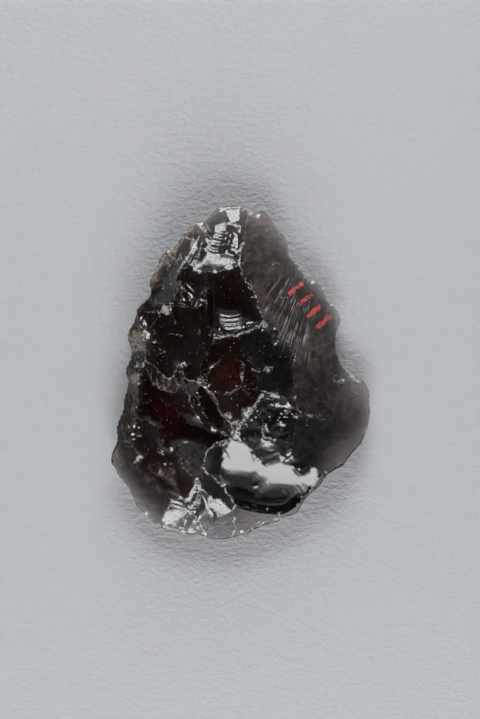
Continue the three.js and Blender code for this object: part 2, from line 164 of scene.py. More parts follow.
# %% The arrises inside the rim, each from knot to knot
arrises = {
    "top_ridge": [top_east, (1.0, 29.5, 5.2), (0.6, 27.0, 6.6), (0.2, 24.2, 8.3), top_fork],
    "scar_end": [top_fork, (-2.5, 20.3, 10.3), (-5.0, 19.7, 10.7), scar_knot],
    "scar_end_west": [scar_knot, (-8.4, 19.8, 11.0), west_fork],
    "top_left": [west_fork, (-8.9, 23.0, 9.5), (-7.6, 25.4, 8.0), (-6.9, 27.3, 6.4), nib_east],
    "link": [west_fork, long_fork],
    "long_ridge": [long_fork, (-10.2, 23.6, 8.8), (-9.4, 26.5, 7.2), nib_west],
    "west_ridge": [long_fork, (-12.6, 18.6, 10.1), (-12.9, 15.5, 10.4), saddle_west],
    "shoulder": [saddle_west, (-15.8, 13.6, 9.0), (-17.0, 14.5, 7.0), shoulder_tip],
    "bowl_left_upper": [scar_knot, (-6.9, 17.0, 11.7), saddle_east],
    "saddle_foot": [saddle_east, (-8.5, 12.9, 12.6), (-10.5, 12.8, 11.8), saddle_west],
    "bowl_left_lower": [saddle_east, (-6.6, 11.8, 12.9), ripple_west],
    "bowl_left_foot": [ripple_west, (-6.0, 7.7, 13.6), step_west],
    "bowl_right": [
        top_fork, (0.2, 19.2, 10.2), (1.3, 17.9, 10.6), (2.6, 15.2, 11.2), (3.6, 12.8, 12.0), ripple_east,
    ],
    "bowl_right_foot": [ripple_east, step_east],
    "ripple_floor": [
        ripple_west, (-5.3, 8.7, 12.6), (-3.4, 7.9, 12.2), (-1.2, 8.3, 12.1), (0.8, 9.0, 12.0),
        (2.8, 9.9, 11.9), ripple_east,
    ],
    "step_east_half": [step_east, (3.0, 8.8, 13.2), (0.8, 7.9, 13.7), step_middle],
    "step_west_half": [step_middle, (-1.2, 7.3, 13.9), (-3.2, 6.9, 13.9), step_west],
    "crest": [step_west, (-6.5, 4.0, 14.4), (-7.6, 1.0, 14.9), summit_west],
    "wavy_ridge": [
        summit_west, (-10.3, -1.2, 14.3), (-11.3, 0.0, 13.8), (-12.0, 1.4, 13.4), (-12.8, 0.0, 13.0),
        (-14.1, -1.0, 12.3), (-15.3, -0.4, 11.6), (-16.6, 0.6, 10.9), (-17.3, 1.6, 10.5), band_knot,
    ],
    "band_upper": [band_knot, (-18.9, 4.0, 9.8), (-19.1, 6.2, 9.6), (-19.7, 8.4, 8.9), band_north],
    "band_mid": [band_knot, (-19.6, 1.0, 9.6), (-20.2, -2.0, 9.6), (-20.3, -5.0, 9.5), band_middle],
    "band_lower": [band_middle, (-21.3, -11.0, 8.5), heel_fork],
    "heel_line": [red_north, (-15.0, -14.3, 10.1), (-17.0, -10.6, 9.8), band_middle],
    "heel_top": [heel_fork, heel_north],
    "heel_side": [heel_fork, (-20.7, -15.2, 7.9), (-20.8, -17.0, 7.3), heel_inner],
    "heel_foot": [heel_inner, heel_south],
    "summit_edge": [
        summit_west, (-6.4, -3.3, 15.8), (-5.2, -4.6, 16.0), (-4.4, -6.9, 15.3), (-3.0, -8.6, 14.1),
        (-1.9, -10.6, 11.8), bowl_north,
    ],
    "summit_foot": [
        summit_west, (-8.6, -4.0, 13.0), (-7.9, -6.6, 11.5), (-6.6, -9.2, 10.4), (-4.8, -11.5, 9.4),
        bowl_split_top,
    ],
    "bowl_top_link": [bowl_north, bowl_split_top],
    "bowl_top_west": [bowl_split_top, (-4.6, -13.8, 9.3), bowl_shoulder],
    "bowl_split": [bowl_split_top, (-2.9, -15.6, 7.7), (-3.8, -18.2, 6.5), bowl_split_foot],
    "bowl_side": [bowl_shoulder, (-7.2, -16.8, 9.4), bowl_west],
    "dark_strip": [bowl_shoulder, (-8.2, -14.2, 9.5), (-10.6, -14.0, 9.7), red_north],
    "red_upper": [red_north, red_middle],
    "red_lower": [red_middle, (-10.0, -20.4, 8.7), red_south],
    "window_top": [
        red_middle, (-13.2, -17.9, 8.9), (-15.2, -17.8, 8.4), (-17.2, -17.9, 7.8), window_north,
    ],
    "window_link": [window_north, heel_inner],
    "window_line": [window_north, (-16.0, -22.6, 6.9), shell_north_west],
    "window_east": [red_south, (-10.3, -23.8, 7.4), shell_north_east],
    "shell_top": [shell_north_east, (-12.2, -24.9, 6.4), shell_north_west],
    "shell_left": [shell_north_west, (-14.7, -26.9, 5.6), (-15.5, -28.6, 4.6), shell_west],
    "shell_right": [shell_north_east, (-10.4, -26.4, 6.2), shell_fork],
    "chips_left": [shell_fork, (-10.7, -29.2, 4.9), (-11.4, -30.8, 4.3), shell_east],
    "chips_right": [shell_fork, (-8.9, -29.1, 4.6), (-8.1, -30.5, 4.0), (-7.4, -32.0, 3.6), south_tip],
    "tongue_left": [red_south, (-9.0, -24.0, 7.4), (-9.4, -26.2, 6.3), shell_fork],
    "tongue_right": [
        red_south, (-7.0, -23.6, 7.1), (-5.6, -25.1, 6.1), (-4.0, -25.4, 5.6), (-2.6, -26.7, 4.8),
        flange_north,
    ],
    "flange_left": [flange_north, (-1.2, -30.8, 3.9), flange_west],
    "flange_link": [flange_north, blade_south],
    "blade": [bowl_west, (-6.1, -20.3, 7.4), bowl_split_foot],
    "blade_foot": [bowl_split_foot, (-2.9, -24.0, 4.6), blade_south],
    "blade_top": [bowl_west, red_south],
    "bowl_foot": [
        blade_south, (1.0, -27.0, 4.4), (5.4, -28.0, 4.0), (8.9, -28.0, 3.7), (12.0, -25.9, 3.5),
        (13.9, -23.4, 3.95), (15.4, -21.4, 4.55), (16.6, -20.3, 5.0), bowl_lip,
    ],
    "bowl_top_middle": [
        bowl_north, (0.2, -13.9, 8.4), (1.6, -14.9, 7.9), (3.0, -16.6, 7.3), (4.5, -18.3, 6.7),
        (6.0, -18.6, 6.5), (7.8, -17.6, 6.7), bowl_notch,
    ],
    "bowl_top_east": [bowl_notch, (10.4, -18.4, 6.6), (11.7, -19.2, 6.4), (14.2, -18.8, 6.1), bowl_lip],
    "rough_edge": [step_point, (13.8, -2.5, 7.4), (14.4, 4.0, 6.9), (13.2, 12.0, 6.2), rough_tip],
    "facet_fold": [step_point, (16.8, -9.4, 6.3), (21.0, -9.5, 4.7), east_point],
    "flank_lower": [bowl_notch, (10.0, -15.0, 8.1), (10.6, -12.0, 8.7), (11.0, -9.6, 8.9), step_point],
    "flank_mid": [step_point, (11.4, -7.4, 8.9), flank_middle],
    "flank_upper": [
        flank_middle, (10.3, -2.0, 10.0), (11.0, 0.4, 9.6), (10.6, 2.5, 10.1), (10.0, 4.4, 10.4),
        (9.4, 6.1, 10.8), (7.7, 7.4, 11.7), (6.4, 8.3, 12.2), step_east,
    ],
    "crack": [step_middle, (0.1, 4.6, 13.9), (2.1, 0.8, 13.6), (3.1, -2.0, 13.3), crack_south],
    "crack_foot": [crack_south, (7.4, -4.6, 11.4), flank_middle],
    "stairs": [crack_south, (2.4, -7.0, 12.4), (1.0, -8.8, 11.6), (-0.6, -10.8, 10.3), bowl_north],
}
print("arrises", len(arrises))

# %% [markdown]
# ## The scars between the arrises
# Each scar is named by a point inside it, and has a depth: how far its dish hangs below the flat
# membrane that its ridges would stretch. Deep, small dishes are the last blows. The long right facet is
# nearly flat, because it is a piece of the big break that freed the stone. The last value is the tone
# that the glass shows there from inside, between the reflections: brown-black where it is deep, red where
# iron oxide streaks run through, and smoky grey where fine crystals or a weathered skin scatter light.

# %% Scars: a point inside, the depth of the dish in millimetres, and the tone of the glass
scars = {
    "top_scar": ((-4.0, 26.4), 0.2, "#262423"),
    "nib_strip": ((-8.6, 26.0), 0.25, "#171412"),
    "north_west": ((-14.0, 20.0), 0.8, "#181410"),
    "saddle": ((-9.8, 16.6), 0.7, "#120c0a"),
    "ripple_bowl": ((-1.6, 14.0), 0.7, "#0b0605"),
    "ripple_wall": ((-2.0, 7.7), 0.1, "#14100f"),
    "west_hollow": ((-13.0, 7.0), 1.1, "#0b0403"),
    "edge_band": ((-21.0, 3.0), 0.3, "#2a2622"),
    "heel": ((-23.4, -16.0), 0.3, "#252220"),
    "great_scar": ((-12.6, -7.6), 1.3, "#0c0201"),
    "summit_side": ((-5.6, -7.0), 0.1, "#100807"),
    "heel_hollow": ((-17.5, -15.2), 0.8, "#130b0a"),
    # The grey of the dark panel is a painted sheen, where its facet would mirror the dim room.
    "dark_panel": ((-9.4, -17.4), 0.1, "#3e3a39"),
    "red_window": ((-14.2, -21.2), 0.4, "#1c1111"),
    "grey_window": ((-19.6, -24.2), 0.5, "#242120"),
    "shell": ((-13.0, -28.6), 0.05, "#333130"),
    "shell_chips": ((-9.6, -30.6), 0.15, "#363433"),
    "tongue": ((-5.2, -28.6), 0.5, "#202122"),
    "tongue_side": ((-9.8, -25.0), 0.15, "#1e1b1a"),
    "blade_side": ((-5.6, -23.9), 0.2, "#1e1b1a"),
    "flange": ((4.0, -29.0), 0.05, "#1e1c1b"),
    "bowl_west_side": ((-5.2, -17.4), 0.3, "#060607"),
    "great_bowl": ((4.0, -25.0), 0.35, "#0b0b0c"),
    "lower_flank": ((16.0, -14.0), 0.5, "#1a1818"),
    "rough_facet": ((8.0, 15.0), 0.5, "#2b2523"),
    "right_facet": ((17.5, 0.0), 0.3, "#282524"),
    "black_scar": ((6.0, 2.4), 0.9, "#0d0b0c"),
    "stair_face": ((6.4, -10.6), 0.25, "#121010"),
    "summit": ((-2.2, 0.6), 0.5, "#140906"),
}
scar_number = {name: number for number, name in enumerate(scars)}
print("scars", len(scars))

# %% [markdown]
# ## Lines as a smooth, slightly wandering curve
# A few points are enough to say where a ridge goes. A Catmull-Rom curve passes through all of them, and
# a small seeded wander makes it look broken and not drawn. The ends stay exactly on their knots, so
# that the lines still join.

# %% Resample a line
TOP_STEP = 0.19
UNDER_STEP = 0.5


def smooth_line(points, step):
    """A Catmull-Rom curve through the points, cut into pieces of about the given length in plan."""
    points = np.array([p[:3] for p in points], float)
    first = 2 * points[0] - points[1]
    last = 2 * points[-1] - points[-2]
    points = np.vstack([first, points, last])
    made = []
    for a, b, c, d in zip(points, points[1:], points[2:], points[3:]):
        count = max(1, round(np.linalg.norm((c - b)[:2]) / step))
        for t in np.arange(count) / count:
            made.append(
                0.5 * (2 * b + (c - a) * t + (2 * a - 5 * b + 4 * c - d) * t**2
                       + (3 * b - a - 3 * c + d) * t**3)
            )
    made.append(points[-2])
    return np.array(made)


KNOT_CALM = 0.8


def wander(line, amount, seed):
    """Pushes a line sideways by a sum of sines, but holds it still within KNOT_CALM of its ends."""
    rng = np.random.default_rng(seed)
    along = np.r_[0, np.cumsum(np.linalg.norm(np.diff(line[:, :2], axis=0), axis=1))]
    push = np.zeros(len(line))
    for wave in (6.0, 3.1, 1.7, 1.1, 0.7):
        push += wave**0.6 * rng.normal() * np.sin(2 * math.pi * along / wave + rng.uniform(0, 6.28))
    push *= amount * np.clip(np.minimum(along, along[-1] - along) / KNOT_CALM, 0, 1)
    heading = np.gradient(line[:, :2], axis=0)
    heading /= np.linalg.norm(heading, axis=1)[:, None] + 1e-9
    moved = line.copy()
    moved[:, 0] += push * heading[:, 1]
    moved[:, 1] -= push * heading[:, 0]
    return moved


RIM_WANDER = 0.035
ARRIS_WANDER = 0.05
rim_closed = rim_line + [rim_line[0]]
rim_thickness = np.array([[p[0], p[1], p[3]] for p in rim_closed])
rim_smooth = smooth_line(rim_closed, TOP_STEP)[:-1]
rim = wander(rim_smooth, RIM_WANDER, seed=3)
ends = np.array([end[:2] for line in arrises.values() for end in (line[0], line[-1])])
gap = np.sqrt(((rim_smooth[:, None, :2] - ends[None]) ** 2).sum(axis=2).min(axis=1))
rim = rim_smooth + (rim - rim_smooth) * np.clip(gap / KNOT_CALM, 0, 1)[:, None]
rim_edge = smooth_line(rim_thickness, TOP_STEP)[:-1, 2]
rim[:, :2] = np.clip(rim[:, :2], low[:2], high[:2])
ridges = {
    name: wander(smooth_line(points, TOP_STEP), ARRIS_WANDER, seed=10 + i)
    for i, (name, points) in enumerate(arrises.items())
}
print("points on the rim", len(rim), "points on the arrises", sum(len(r) for r in ridges.values()))

# %% [markdown]
# ## Ridges that die out inside a scar
# Some ridges don't reach the next one. They start at nothing inside a scar, and their heights are given
# as for the arrises. The top scar is three narrow blade scars side by side, and its columns come from here.

# %% Inner ridges, as x, y and height
SLOPE_TOP = 9.4
SLOPE_START = 22.5
SLOPE_FALL = 0.50
INNER_WANDER = 0.04


def on_slope(points, drop):
    """Gives the points of a line in the top scar the height of its even slope, less a drop."""
    return [(x, y, SLOPE_TOP - SLOPE_FALL * (y - SLOPE_START) - drop) for x, y in points]


inner_ridges = [
    # the ring round the bright oval at the tip, the groove beside it
    on_slope([(-2.9, 32.6), (-2.8, 31.2), (-2.2, 30.2), (-1.4, 29.9), (-0.6, 30.4), (-0.3, 31.4),
              (-0.4, 32.6)], 0.0),
    on_slope([(0.2, 32.3), (0.1, 30.6), (-0.1, 29.0), (-0.2, 27.8)], 0.35),
    on_slope([(0.8, 32.2), (0.7, 30.4), (0.5, 28.6)], 0.0),
    on_slope([(-3.5, 31.8), (-3.6, 30.8), (-3.4, 29.8)], 0.35),
    on_slope([(-4.5, 31.6), (-4.6, 30.6), (-5.0, 29.8)], -0.3),
    # the left column, the groove between the columns and the right column
    on_slope([(-4.6, 29.6), (-5.0, 27.6), (-6.0, 25.6), (-7.5, 24.4)], 0.25),
    on_slope([(-2.4, 29.2), (-2.8, 27.4), (-3.2, 25.6), (-3.7, 23.8)], 0.0),
    on_slope([(-1.8, 29.0), (-2.1, 27.0), (-2.5, 25.2), (-3.0, 23.6)], 0.30),
    on_slope([(-1.6, 29.0), (-1.4, 27.2), (-1.7, 25.4), (-2.2, 24.0)], 0.0),
    on_slope([(-0.6, 27.0), (-0.7, 25.4), (-1.0, 23.6), (-0.6, 22.6)], 0.05),
    # the wedge at the foot of the scar
    on_slope([(-6.4, 22.0), (-5.6, 22.6), (-4.2, 23.0), (-3.0, 22.6), (-2.0, 22.1), (-0.9, 21.5)], 0.45),
    # the hollow of the rippled bowl
    [(-4.6, 14.6, 10.3), (-2.0, 14.2, 10.2), (0.8, 14.9, 10.5)],
    [(-5.9, 15.8, 10.3), (-6.0, 13.0, 10.6), (-5.8, 10.8, 11.3), (-5.2, 9.6, 11.8)],
    # the two lobes of the great bowl and the rib between them
    [(6.4, -19.2, 6.2), (5.2, -20.4, 5.7), (4.0, -21.8, 5.2), (2.8, -23.2, 4.85)],
    [(-3.2, -20.3, 5.5), (-1.8, -19.6, 5.5), (-0.2, -19.3, 5.5), (1.2, -20.0, 5.3), (2.4, -21.8, 5.1)],
    [(6.4, -20.0, 5.7), (7.6, -21.4, 4.9), (9.0, -23.0, 4.25), (10.4, -24.8, 3.75)],
    # the tread of the stairs below the summit
    [(0.9, -11.4, 8.8), (2.3, -9.2, 9.1), (3.8, -6.9, 9.6), (5.6, -6.2, 9.5), (8.0, -6.6, 9.2),
     (9.8, -7.6, 8.9)],
    # the foot of the slope west of the summit
    [(-9.5, -4.2, 12.2), (-9.0, -6.8, 10.7), (-7.9, -9.6, 9.6), (-6.2, -12.0, 9.0)],
    # the valley of the tongue
    [(-8.2, -22.9, 7.2), (-7.3, -25.2, 5.7), (-6.9, -27.8, 4.7), (-6.6, -30.5, 3.95)],
    # the groove in the chipped strip beside the shell
    [(-9.8, -28.9, 4.3), (-9.7, -30.2, 3.9), (-9.6, -31.4, 3.6)],
]
inner_ridges = [
    wander(smooth_line(points, TOP_STEP), INNER_WANDER, seed=120 + i)
    for i, points in enumerate(inner_ridges)
]
print("inner ridges", len(inner_ridges))

# %% [markdown]
# ## Small ridges, steps and cracks inside the scars
# A fracture that dies out leaves a step, and a crack leaves a thin raised line. Each is a line inside a
# scar with a rise in millimetres. They don't close a loop, so a net of dishes couldn't hold them, and
# they are laid on afterwards and fade into the scar within about a millimetre.

# %% Minor lines: rise in millimetres, then the points
minor = [
    # the ledge under the wavy ridge
    (-0.35, [(-18.4, 0.6), (-17.8, -1.6), (-16.6, -2.9), (-14.6, -3.7), (-13.2, -3.9), (-11.6, -2.3)]),
    # the thin crack across the great scar
    (0.10, [(-11.3, -2.6), (-9.9, -5.4), (-8.6, -8.6), (-7.9, -10.4)]),
    # the ring round the red hollow
    (0.45, [(-0.2, 2.4), (0.3, 0.2), (0.2, -2.0), (-1.4, -3.5), (-3.4, -4.3), (-4.7, -3.9)]),
    (0.30, [(-3.6, 3.0), (-5.0, 1.4), (-6.2, 0.2), (-7.4, -0.6)]),
    # ledges on the black scar and the summit
    (0.35, [(2.4, 0.7), (3.6, 0.1), (4.8, 0.3), (5.8, 1.1)]),
    (0.40, [(4.7, -3.6), (6.0, -3.9), (7.3, -4.1)]),
    (0.30, [(6.8, 5.6), (7.4, 6.6), (8.0, 7.0), (9.2, 6.2)]),
    # the stairs below the summit
    (0.45, [(1.0, -8.4), (2.0, -7.4), (3.0, -6.7)]),
    (-0.35, [(1.2, -9.6), (2.4, -8.4), (3.6, -7.6)]),
    (0.40, [(6.6, -6.8), (7.4, -6.2), (8.6, -7.6), (10.6, -8.4), (12.2, -8.6)]),
    (0.50, [(4.2, -11.8), (4.6, -12.8), (5.4, -13.4), (6.4, -13.5)]),
    (0.35, [(4.2, -9.8), (5.0, -10.6), (5.6, -11.6)]),
    (0.35, [(7.0, -9.2), (8.0, -9.8), (9.0, -10.0)]),
    (0.30, [(8.0, -15.2), (8.6, -16.2), (9.1, -16.9)]),
    (0.45, [(13.2, -8.3), (14.6, -8.5), (16.0, -9.0), (17.2, -9.6)]),
    # the great bowl's radial rib and the tongue's blade
    (0.16, [(6.4, -19.0), (5.0, -20.4), (3.6, -21.8), (2.6, -22.9)]),
    (0.20, [(-8.3, -22.4), (-7.0, -24.4), (-6.0, -27.4), (-5.6, -29.8), (-6.4, -31.6)]),
    # the second ridge in the top left, and the marks beside it
    (0.45, [(-7.3, 25.6), (-8.2, 23.6), (-9.3, 21.8)]),
    (0.30, [(-7.2, 16.8), (-7.9, 14.6), (-8.4, 13.4)]),
    (0.30, [(-9.9, 17.6), (-10.2, 15.6), (-9.6, 14.0), (-8.6, 13.8)]),
    (0.25, [(-12.0, 17.8), (-11.6, 15.8), (-11.9, 13.8)]),
    (0.25, [(-11.9, 23.2), (-12.6, 22.0), (-13.2, 21.6), (-14.0, 23.0)]),
    # steps in the west hollow
    (0.30, [(-19.4, 12.2), (-17.6, 12.0), (-15.6, 11.8)]),
    (0.30, [(-14.4, 12.6), (-13.2, 11.2), (-13.0, 9.8)]),
    (0.25, [(-14.2, 7.6), (-12.8, 7.5), (-11.8, 7.2)]),
    (0.22, [(-16.5, 3.7), (-15.8, 3.6), (-14.8, 4.4)]),
    (0.30, [(-8.2, 8.6), (-8.1, 7.2)]),
    # the rough facet's edge of chips
    (0.25, [(1.2, 27.4), (2.0, 27.0), (3.0, 27.1), (4.6, 28.2)]),
    (0.25, [(0.6, 21.6), (1.0, 22.8), (1.6, 23.4)]),
    (0.30, [(6.2, 21.2), (7.0, 21.8), (7.6, 21.9)]),
]


def clear_of(line, others, distance):
    """Keeps the longest stretch of a line that stays away from the other points."""
    gap = np.sqrt(((line[:, None, :2] - others[None]) ** 2).sum(axis=2).min(axis=1))
    turns = np.flatnonzero(np.diff(np.r_[0, gap > distance, 0]))
    longest = np.argmax(turns[1::2] - turns[::2])
    return line[turns[2 * longest]:turns[2 * longest + 1]]


CLEARANCE = 0.3
MINOR_WANDER = 0.06
FADE_ANGLE = 0.35
net_lines = list(ridges.values()) + inner_ridges
arris_points = np.vstack([rim] + net_lines)
minor_lines = []
for index, (rise, points) in enumerate(minor):
    line = smooth_line([(x, y, 0) for x, y in points], TOP_STEP)
    line = clear_of(wander(line, MINOR_WANDER, seed=200 + index), arris_points[:, :2], CLEARANCE)
    line[:, 2] = rise * np.sin(np.linspace(FADE_ANGLE, math.pi - FADE_ANGLE, len(line)))
    minor_lines.append(line)
print("minor lines", len(minor_lines), "points", [len(line) for line in minor_lines])

# %% [markdown]
# ## One flat mesh that follows every line
# A constrained Delaunay triangulation takes loose points and lines and joins them so that every line is
# an edge of the mesh. That keeps the ridges knife sharp, which a plain grid would not.

# %% Triangulate in plan
NEAREST_LOOSE = 0.62


def hex_points(step):
    """Loose points in rows over the whole box, every other row shifted by half a step."""
    rows = np.arange(low[1], high[1], step * math.sqrt(3) / 2)
    made = []
    for i, y in enumerate(rows):
        xs = np.arange(low[0] + (i % 2) * step / 2, high[0], step)
        made.append(np.c_[xs, np.full(len(xs), y)])
    return np.vstack(made)


def thin_near(points, lines, distance):
    """Leaves out the points nearer to any line point than the distance, by a coarse grid of cells."""
    taken = {}
    for x, y in lines:
        taken.setdefault((int(x // distance), int(y // distance)), []).append((x, y))
    keep = np.ones(len(points), bool)
    cells = np.floor(points / distance).astype(int)
    for i, (column, row) in enumerate(cells):
        for dx in (-1, 0, 1):
            for dy in (-1, 0, 1):
                for x, y in taken.get((column + dx, row + dy), ()):
                    if (points[i, 0] - x) ** 2 + (points[i, 1] - y) ** 2 < distance**2:
                        keep[i] = False
    return points[keep]


def within_loop(points, loop):
    """True where a ray from the point to the right crosses the loop an odd number of times."""
    order = np.argsort(points[:, 1])
    heights = points[order, 1]
    odd = np.zeros(len(points), bool)
    for (x0, y0), (x1, y1) in zip(loop, np.roll(loop, -1, axis=0)):
        first, last = np.searchsorted(heights, sorted((y0, y1)))
        beside = order[first:last]
        crossing = x0 + (points[beside, 1] - y0) * (x1 - x0) / (y1 - y0 + 1e-12)
        odd[beside] ^= points[beside, 0] < crossing
    return odd


def triangulate(loop, lines, step):
    """Returns the plan, the triangles, each point's place in the lines or -1, and the line edges."""
    given = np.vstack([loop] + lines)
    edges = [(i, (i + 1) % len(loop)) for i in range(len(loop))]
    start = len(loop)
    for line in lines:
        edges += [(start + i, start + i + 1) for i in range(len(line) - 1)]
        start += len(line)
    loose = hex_points(step)
    loose = thin_near(loose[within_loop(loose, loop[:, :2])], given[:, :2], NEAREST_LOOSE * step)
    plan = np.vstack([given[:, :2], loose])
    out = delaunay_2d_cdt([Vector(p) for p in plan], edges, [], 1, 1e-5, True)
    points = np.array([tuple(p) for p in out[0]])
    source = np.array([min(s) if s and min(s) < len(given) else -1 for s in out[3]])
    line_edges = np.array([tuple(sorted(e)) for e, s in zip(out[1], out[4]) if s])
    faces = np.array([tuple(f) for f in out[2]])
    faces = faces[within_loop(points[faces].mean(axis=1), loop[:, :2])]
    return points, faces, source, line_edges


plan, triangles, source, line_edges = triangulate(rim, net_lines + minor_lines, TOP_STEP)
print("points", len(plan), "triangles", len(triangles), "seconds", round(time.time() - started, 1))

# %% [markdown]
# ## Which triangle belongs to which scar
# Neighbouring triangles get the same label unless an arris lies between them. The label then spreads
# until nothing changes, like paint that stops at the ridges.

# %% Flood the scars
def edge_table(faces):
    """Every edge of the mesh once, with the two faces beside it. The second is -1 at the border."""
    pairs = np.sort(np.vstack([faces[:, [0, 1]], faces[:, [1, 2]], faces[:, [2, 0]]]), axis=1)
    owner = np.tile(np.arange(len(faces)), 3)
    edges, first, inverse = np.unique(pairs, axis=0, return_index=True, return_inverse=True)
    beside = np.full((len(edges), 2), -1)
    beside[:, 0] = owner[first]
    other = np.ones(len(owner), bool)
    other[first] = False
    beside[inverse.ravel()[other], 1] = owner[other]
    return edges, beside


def scar_labels(faces, walls):
    """Gives every face the lowest number among the faces that it can reach without crossing a wall."""
    edges, beside = edge_table(faces)
    coded = edges[:, 0] * len(plan) + edges[:, 1]
    wall = np.isin(coded, walls[:, 0] * len(plan) + walls[:, 1])
    open_pairs = beside[(~wall) & (beside[:, 1] >= 0)]
    label = np.arange(len(faces))
    while True:
        lowest = np.minimum(label[open_pairs[:, 0]], label[open_pairs[:, 1]])
        spread = label.copy()
        np.minimum.at(spread, open_pairs[:, 0], lowest)
        np.minimum.at(spread, open_pairs[:, 1], lowest)
        spread = spread[spread]
        if np.array_equal(spread, label):
            return label
        label = spread


from_net = (source >= 0) & (source < len(arris_points))
label = scar_labels(triangles, line_edges[from_net[line_edges].all(axis=1)])
middles = plan[triangles].mean(axis=1)
scar_of_face = np.full(len(triangles), -1)
for number, (seed_point, _, _) in enumerate(scars.values()):
    nearest = np.argmin(((middles - seed_point) ** 2).sum(axis=1))
    scar_of_face[label == label[nearest]] = number
scar_of_point = np.full(len(plan), -1)
scar_of_point[triangles.ravel()] = np.repeat(scar_of_face, 3)
counts = np.bincount(scar_of_face + 1, minlength=len(scars) + 1)
print("faces in no scar", counts[0])
print("faces a scar", dict(zip(scars, counts[1:])))

# %% [markdown]
# ## Hang the dishes
# A soap film over a bent wire frame is the smoothest surface through the wires. Solving for that film
# over the arrises gives every scar a surface with no lump in it. Pressing on the film with an even
# pressure gives the dish, and its depth is scaled to the one that the scar has.

# %% The film solver
IS_RIM = 0
IS_ARRIS = 1
IS_MINOR = 2
kind = np.full(len(plan), -1)
kind[(source >= 0) & (source < len(rim))] = IS_RIM
kind[(source >= len(rim)) & (source < len(arris_points))] = IS_ARRIS
kind[source >= len(arris_points)] = IS_MINOR
print("points on the rim", (kind == IS_RIM).sum(), "on arrises", (kind == IS_ARRIS).sum())
# A very thin triangle would pull far too hard or hardly at all, so every pull stays between these.
WEAKEST_PULL = 0.02
STRONGEST_PULL = 10


def film_weights(points, faces):
    """Cotangent weights: how strongly each edge of the mesh pulls its two ends together."""
    starts = []
    ends = []
    pulls = []
    share = np.zeros(len(points))
    for corner in range(3):
        i, j, k = (faces[:, (corner + n) % 3] for n in range(3))
        u = points[j] - points[i]
        v = points[k] - points[i]
        cross = np.abs(u[:, 0] * v[:, 1] - u[:, 1] * v[:, 0]) + 1e-9
        starts.append(j)
        ends.append(k)
        pulls.append(np.clip(0.5 * (u * v).sum(axis=1) / cross, WEAKEST_PULL, STRONGEST_PULL))
        np.add.at(share, i, cross / 6)
    starts, ends, pulls = (np.concatenate(a) for a in (starts, ends, pulls))
    return np.r_[starts, ends], np.r_[ends, starts], np.r_[pulls, pulls], share


MOST_STEPS = 1500
CLOSE_ENOUGH = 1e-12


def solve_film(weights, fixed, values, push, hold=0.0):
    """Conjugate gradients for the film's height, with some points fixed and an even push on the rest."""
    starts, ends, pulls, share = weights
    count = len(values)
    diagonal = np.bincount(starts, pulls, count) + hold * share + 1e-9

    def apply(x):
        return diagonal * x - np.bincount(starts, pulls * x[ends], count)

    loose = ~fixed
    height = np.where(fixed, values, 0.0)
    height[loose] = values[fixed].mean()
    residual = np.where(loose, push * share - apply(height), 0)
    ready = residual / diagonal
    heading = ready.copy()
    power = (residual * ready).sum()
    goal = CLOSE_ENOUGH * max(power, 1e-12)
    for _ in range(MOST_STEPS):
        image = np.where(loose, apply(heading), 0)
        step = power / (heading * image).sum()
        height += step * heading
        residual -= step * image
        ready = residual / diagonal
        previous = power
        power = (residual * ready).sum()
        if power < goal:
            break
        heading = ready + power / previous * heading
    return height


# %% [markdown]
# ## The upper side
# The film takes its height from the arrises, and each dish hangs below it by the depth of its scar. The
# light fades softly across the gentle ridges inside some scars, so these are rounded off. Each round
# moves every point of the scar to the mean of its neighbours, while the arrises stay where they are. The
# minor lines come last, as a film of their own that springs back to nothing beside them.

# %% Solve for the upper side
weights = film_weights(plan, triangles)
on_net = (kind == IS_RIM) | (kind == IS_ARRIS)
net_height = np.zeros(len(plan))
net_height[on_net] = arris_points[source[on_net], 2]
film = solve_film(weights, on_net, net_height, 0.0)
dish = solve_film(weights, on_net, np.zeros(len(plan)), 1.0)
deepest = np.zeros(len(scars) + 1)
np.maximum.at(deepest, scar_of_point, dish)
depths = np.array([depth for _, depth, _ in scars.values()] + [0.0])
bowl = dish / np.maximum(deepest[scar_of_point], 1e-9)
top = film - depths[scar_of_point] * bowl
area = {name: scar_of_point == number for name, number in scar_number.items()}
print("films solved, seconds", round(time.time() - started, 1))

# %% Round off the ridges inside some scars
ROUNDS = {
    "great_bowl": 50, "ripple_bowl": 30, "shell": 12, "tongue": 12, "tongue_side": 12, "stair_face": 4,
}
inner_count = sum(len(line) for line in inner_ridges)
on_arris = on_net & (source < len(arris_points) - inner_count)


def averaged(values):
    """The mean of each point's neighbours, weighted by how hard they pull."""
    starts, ends, pulls, _ = weights
    return np.bincount(starts, pulls * values[ends], len(plan)) / np.bincount(starts, pulls, len(plan))


for name, rounds in ROUNDS.items():
    inside = area[name] & ~on_arris
    for _ in range(rounds):
        top = np.where(inside, averaged(top), top)
print("rounds of averaging", ROUNDS)

# %% Lay on the minor lines
MINOR_REACH = 0.8
on_minor = kind == IS_MINOR
minor_rise = np.zeros(len(plan))
minor_rise[on_minor] = np.vstack(minor_lines)[source[on_minor] - len(arris_points), 2]
top += solve_film(weights, on_net | on_minor, minor_rise, 0.0, hold=1 / MINOR_REACH**2)
print("highest point", top.max().round(2), "seconds", round(time.time() - started, 1))

# %% [markdown]
# ## Uneven glass
# No fracture in glass is quite even. Each scar has long, low swells, and the stepped places break up into
# small facets as well. All of it is a sum of sine waves in random directions, with a fixed seed, so that
# the stone is the same at every run.

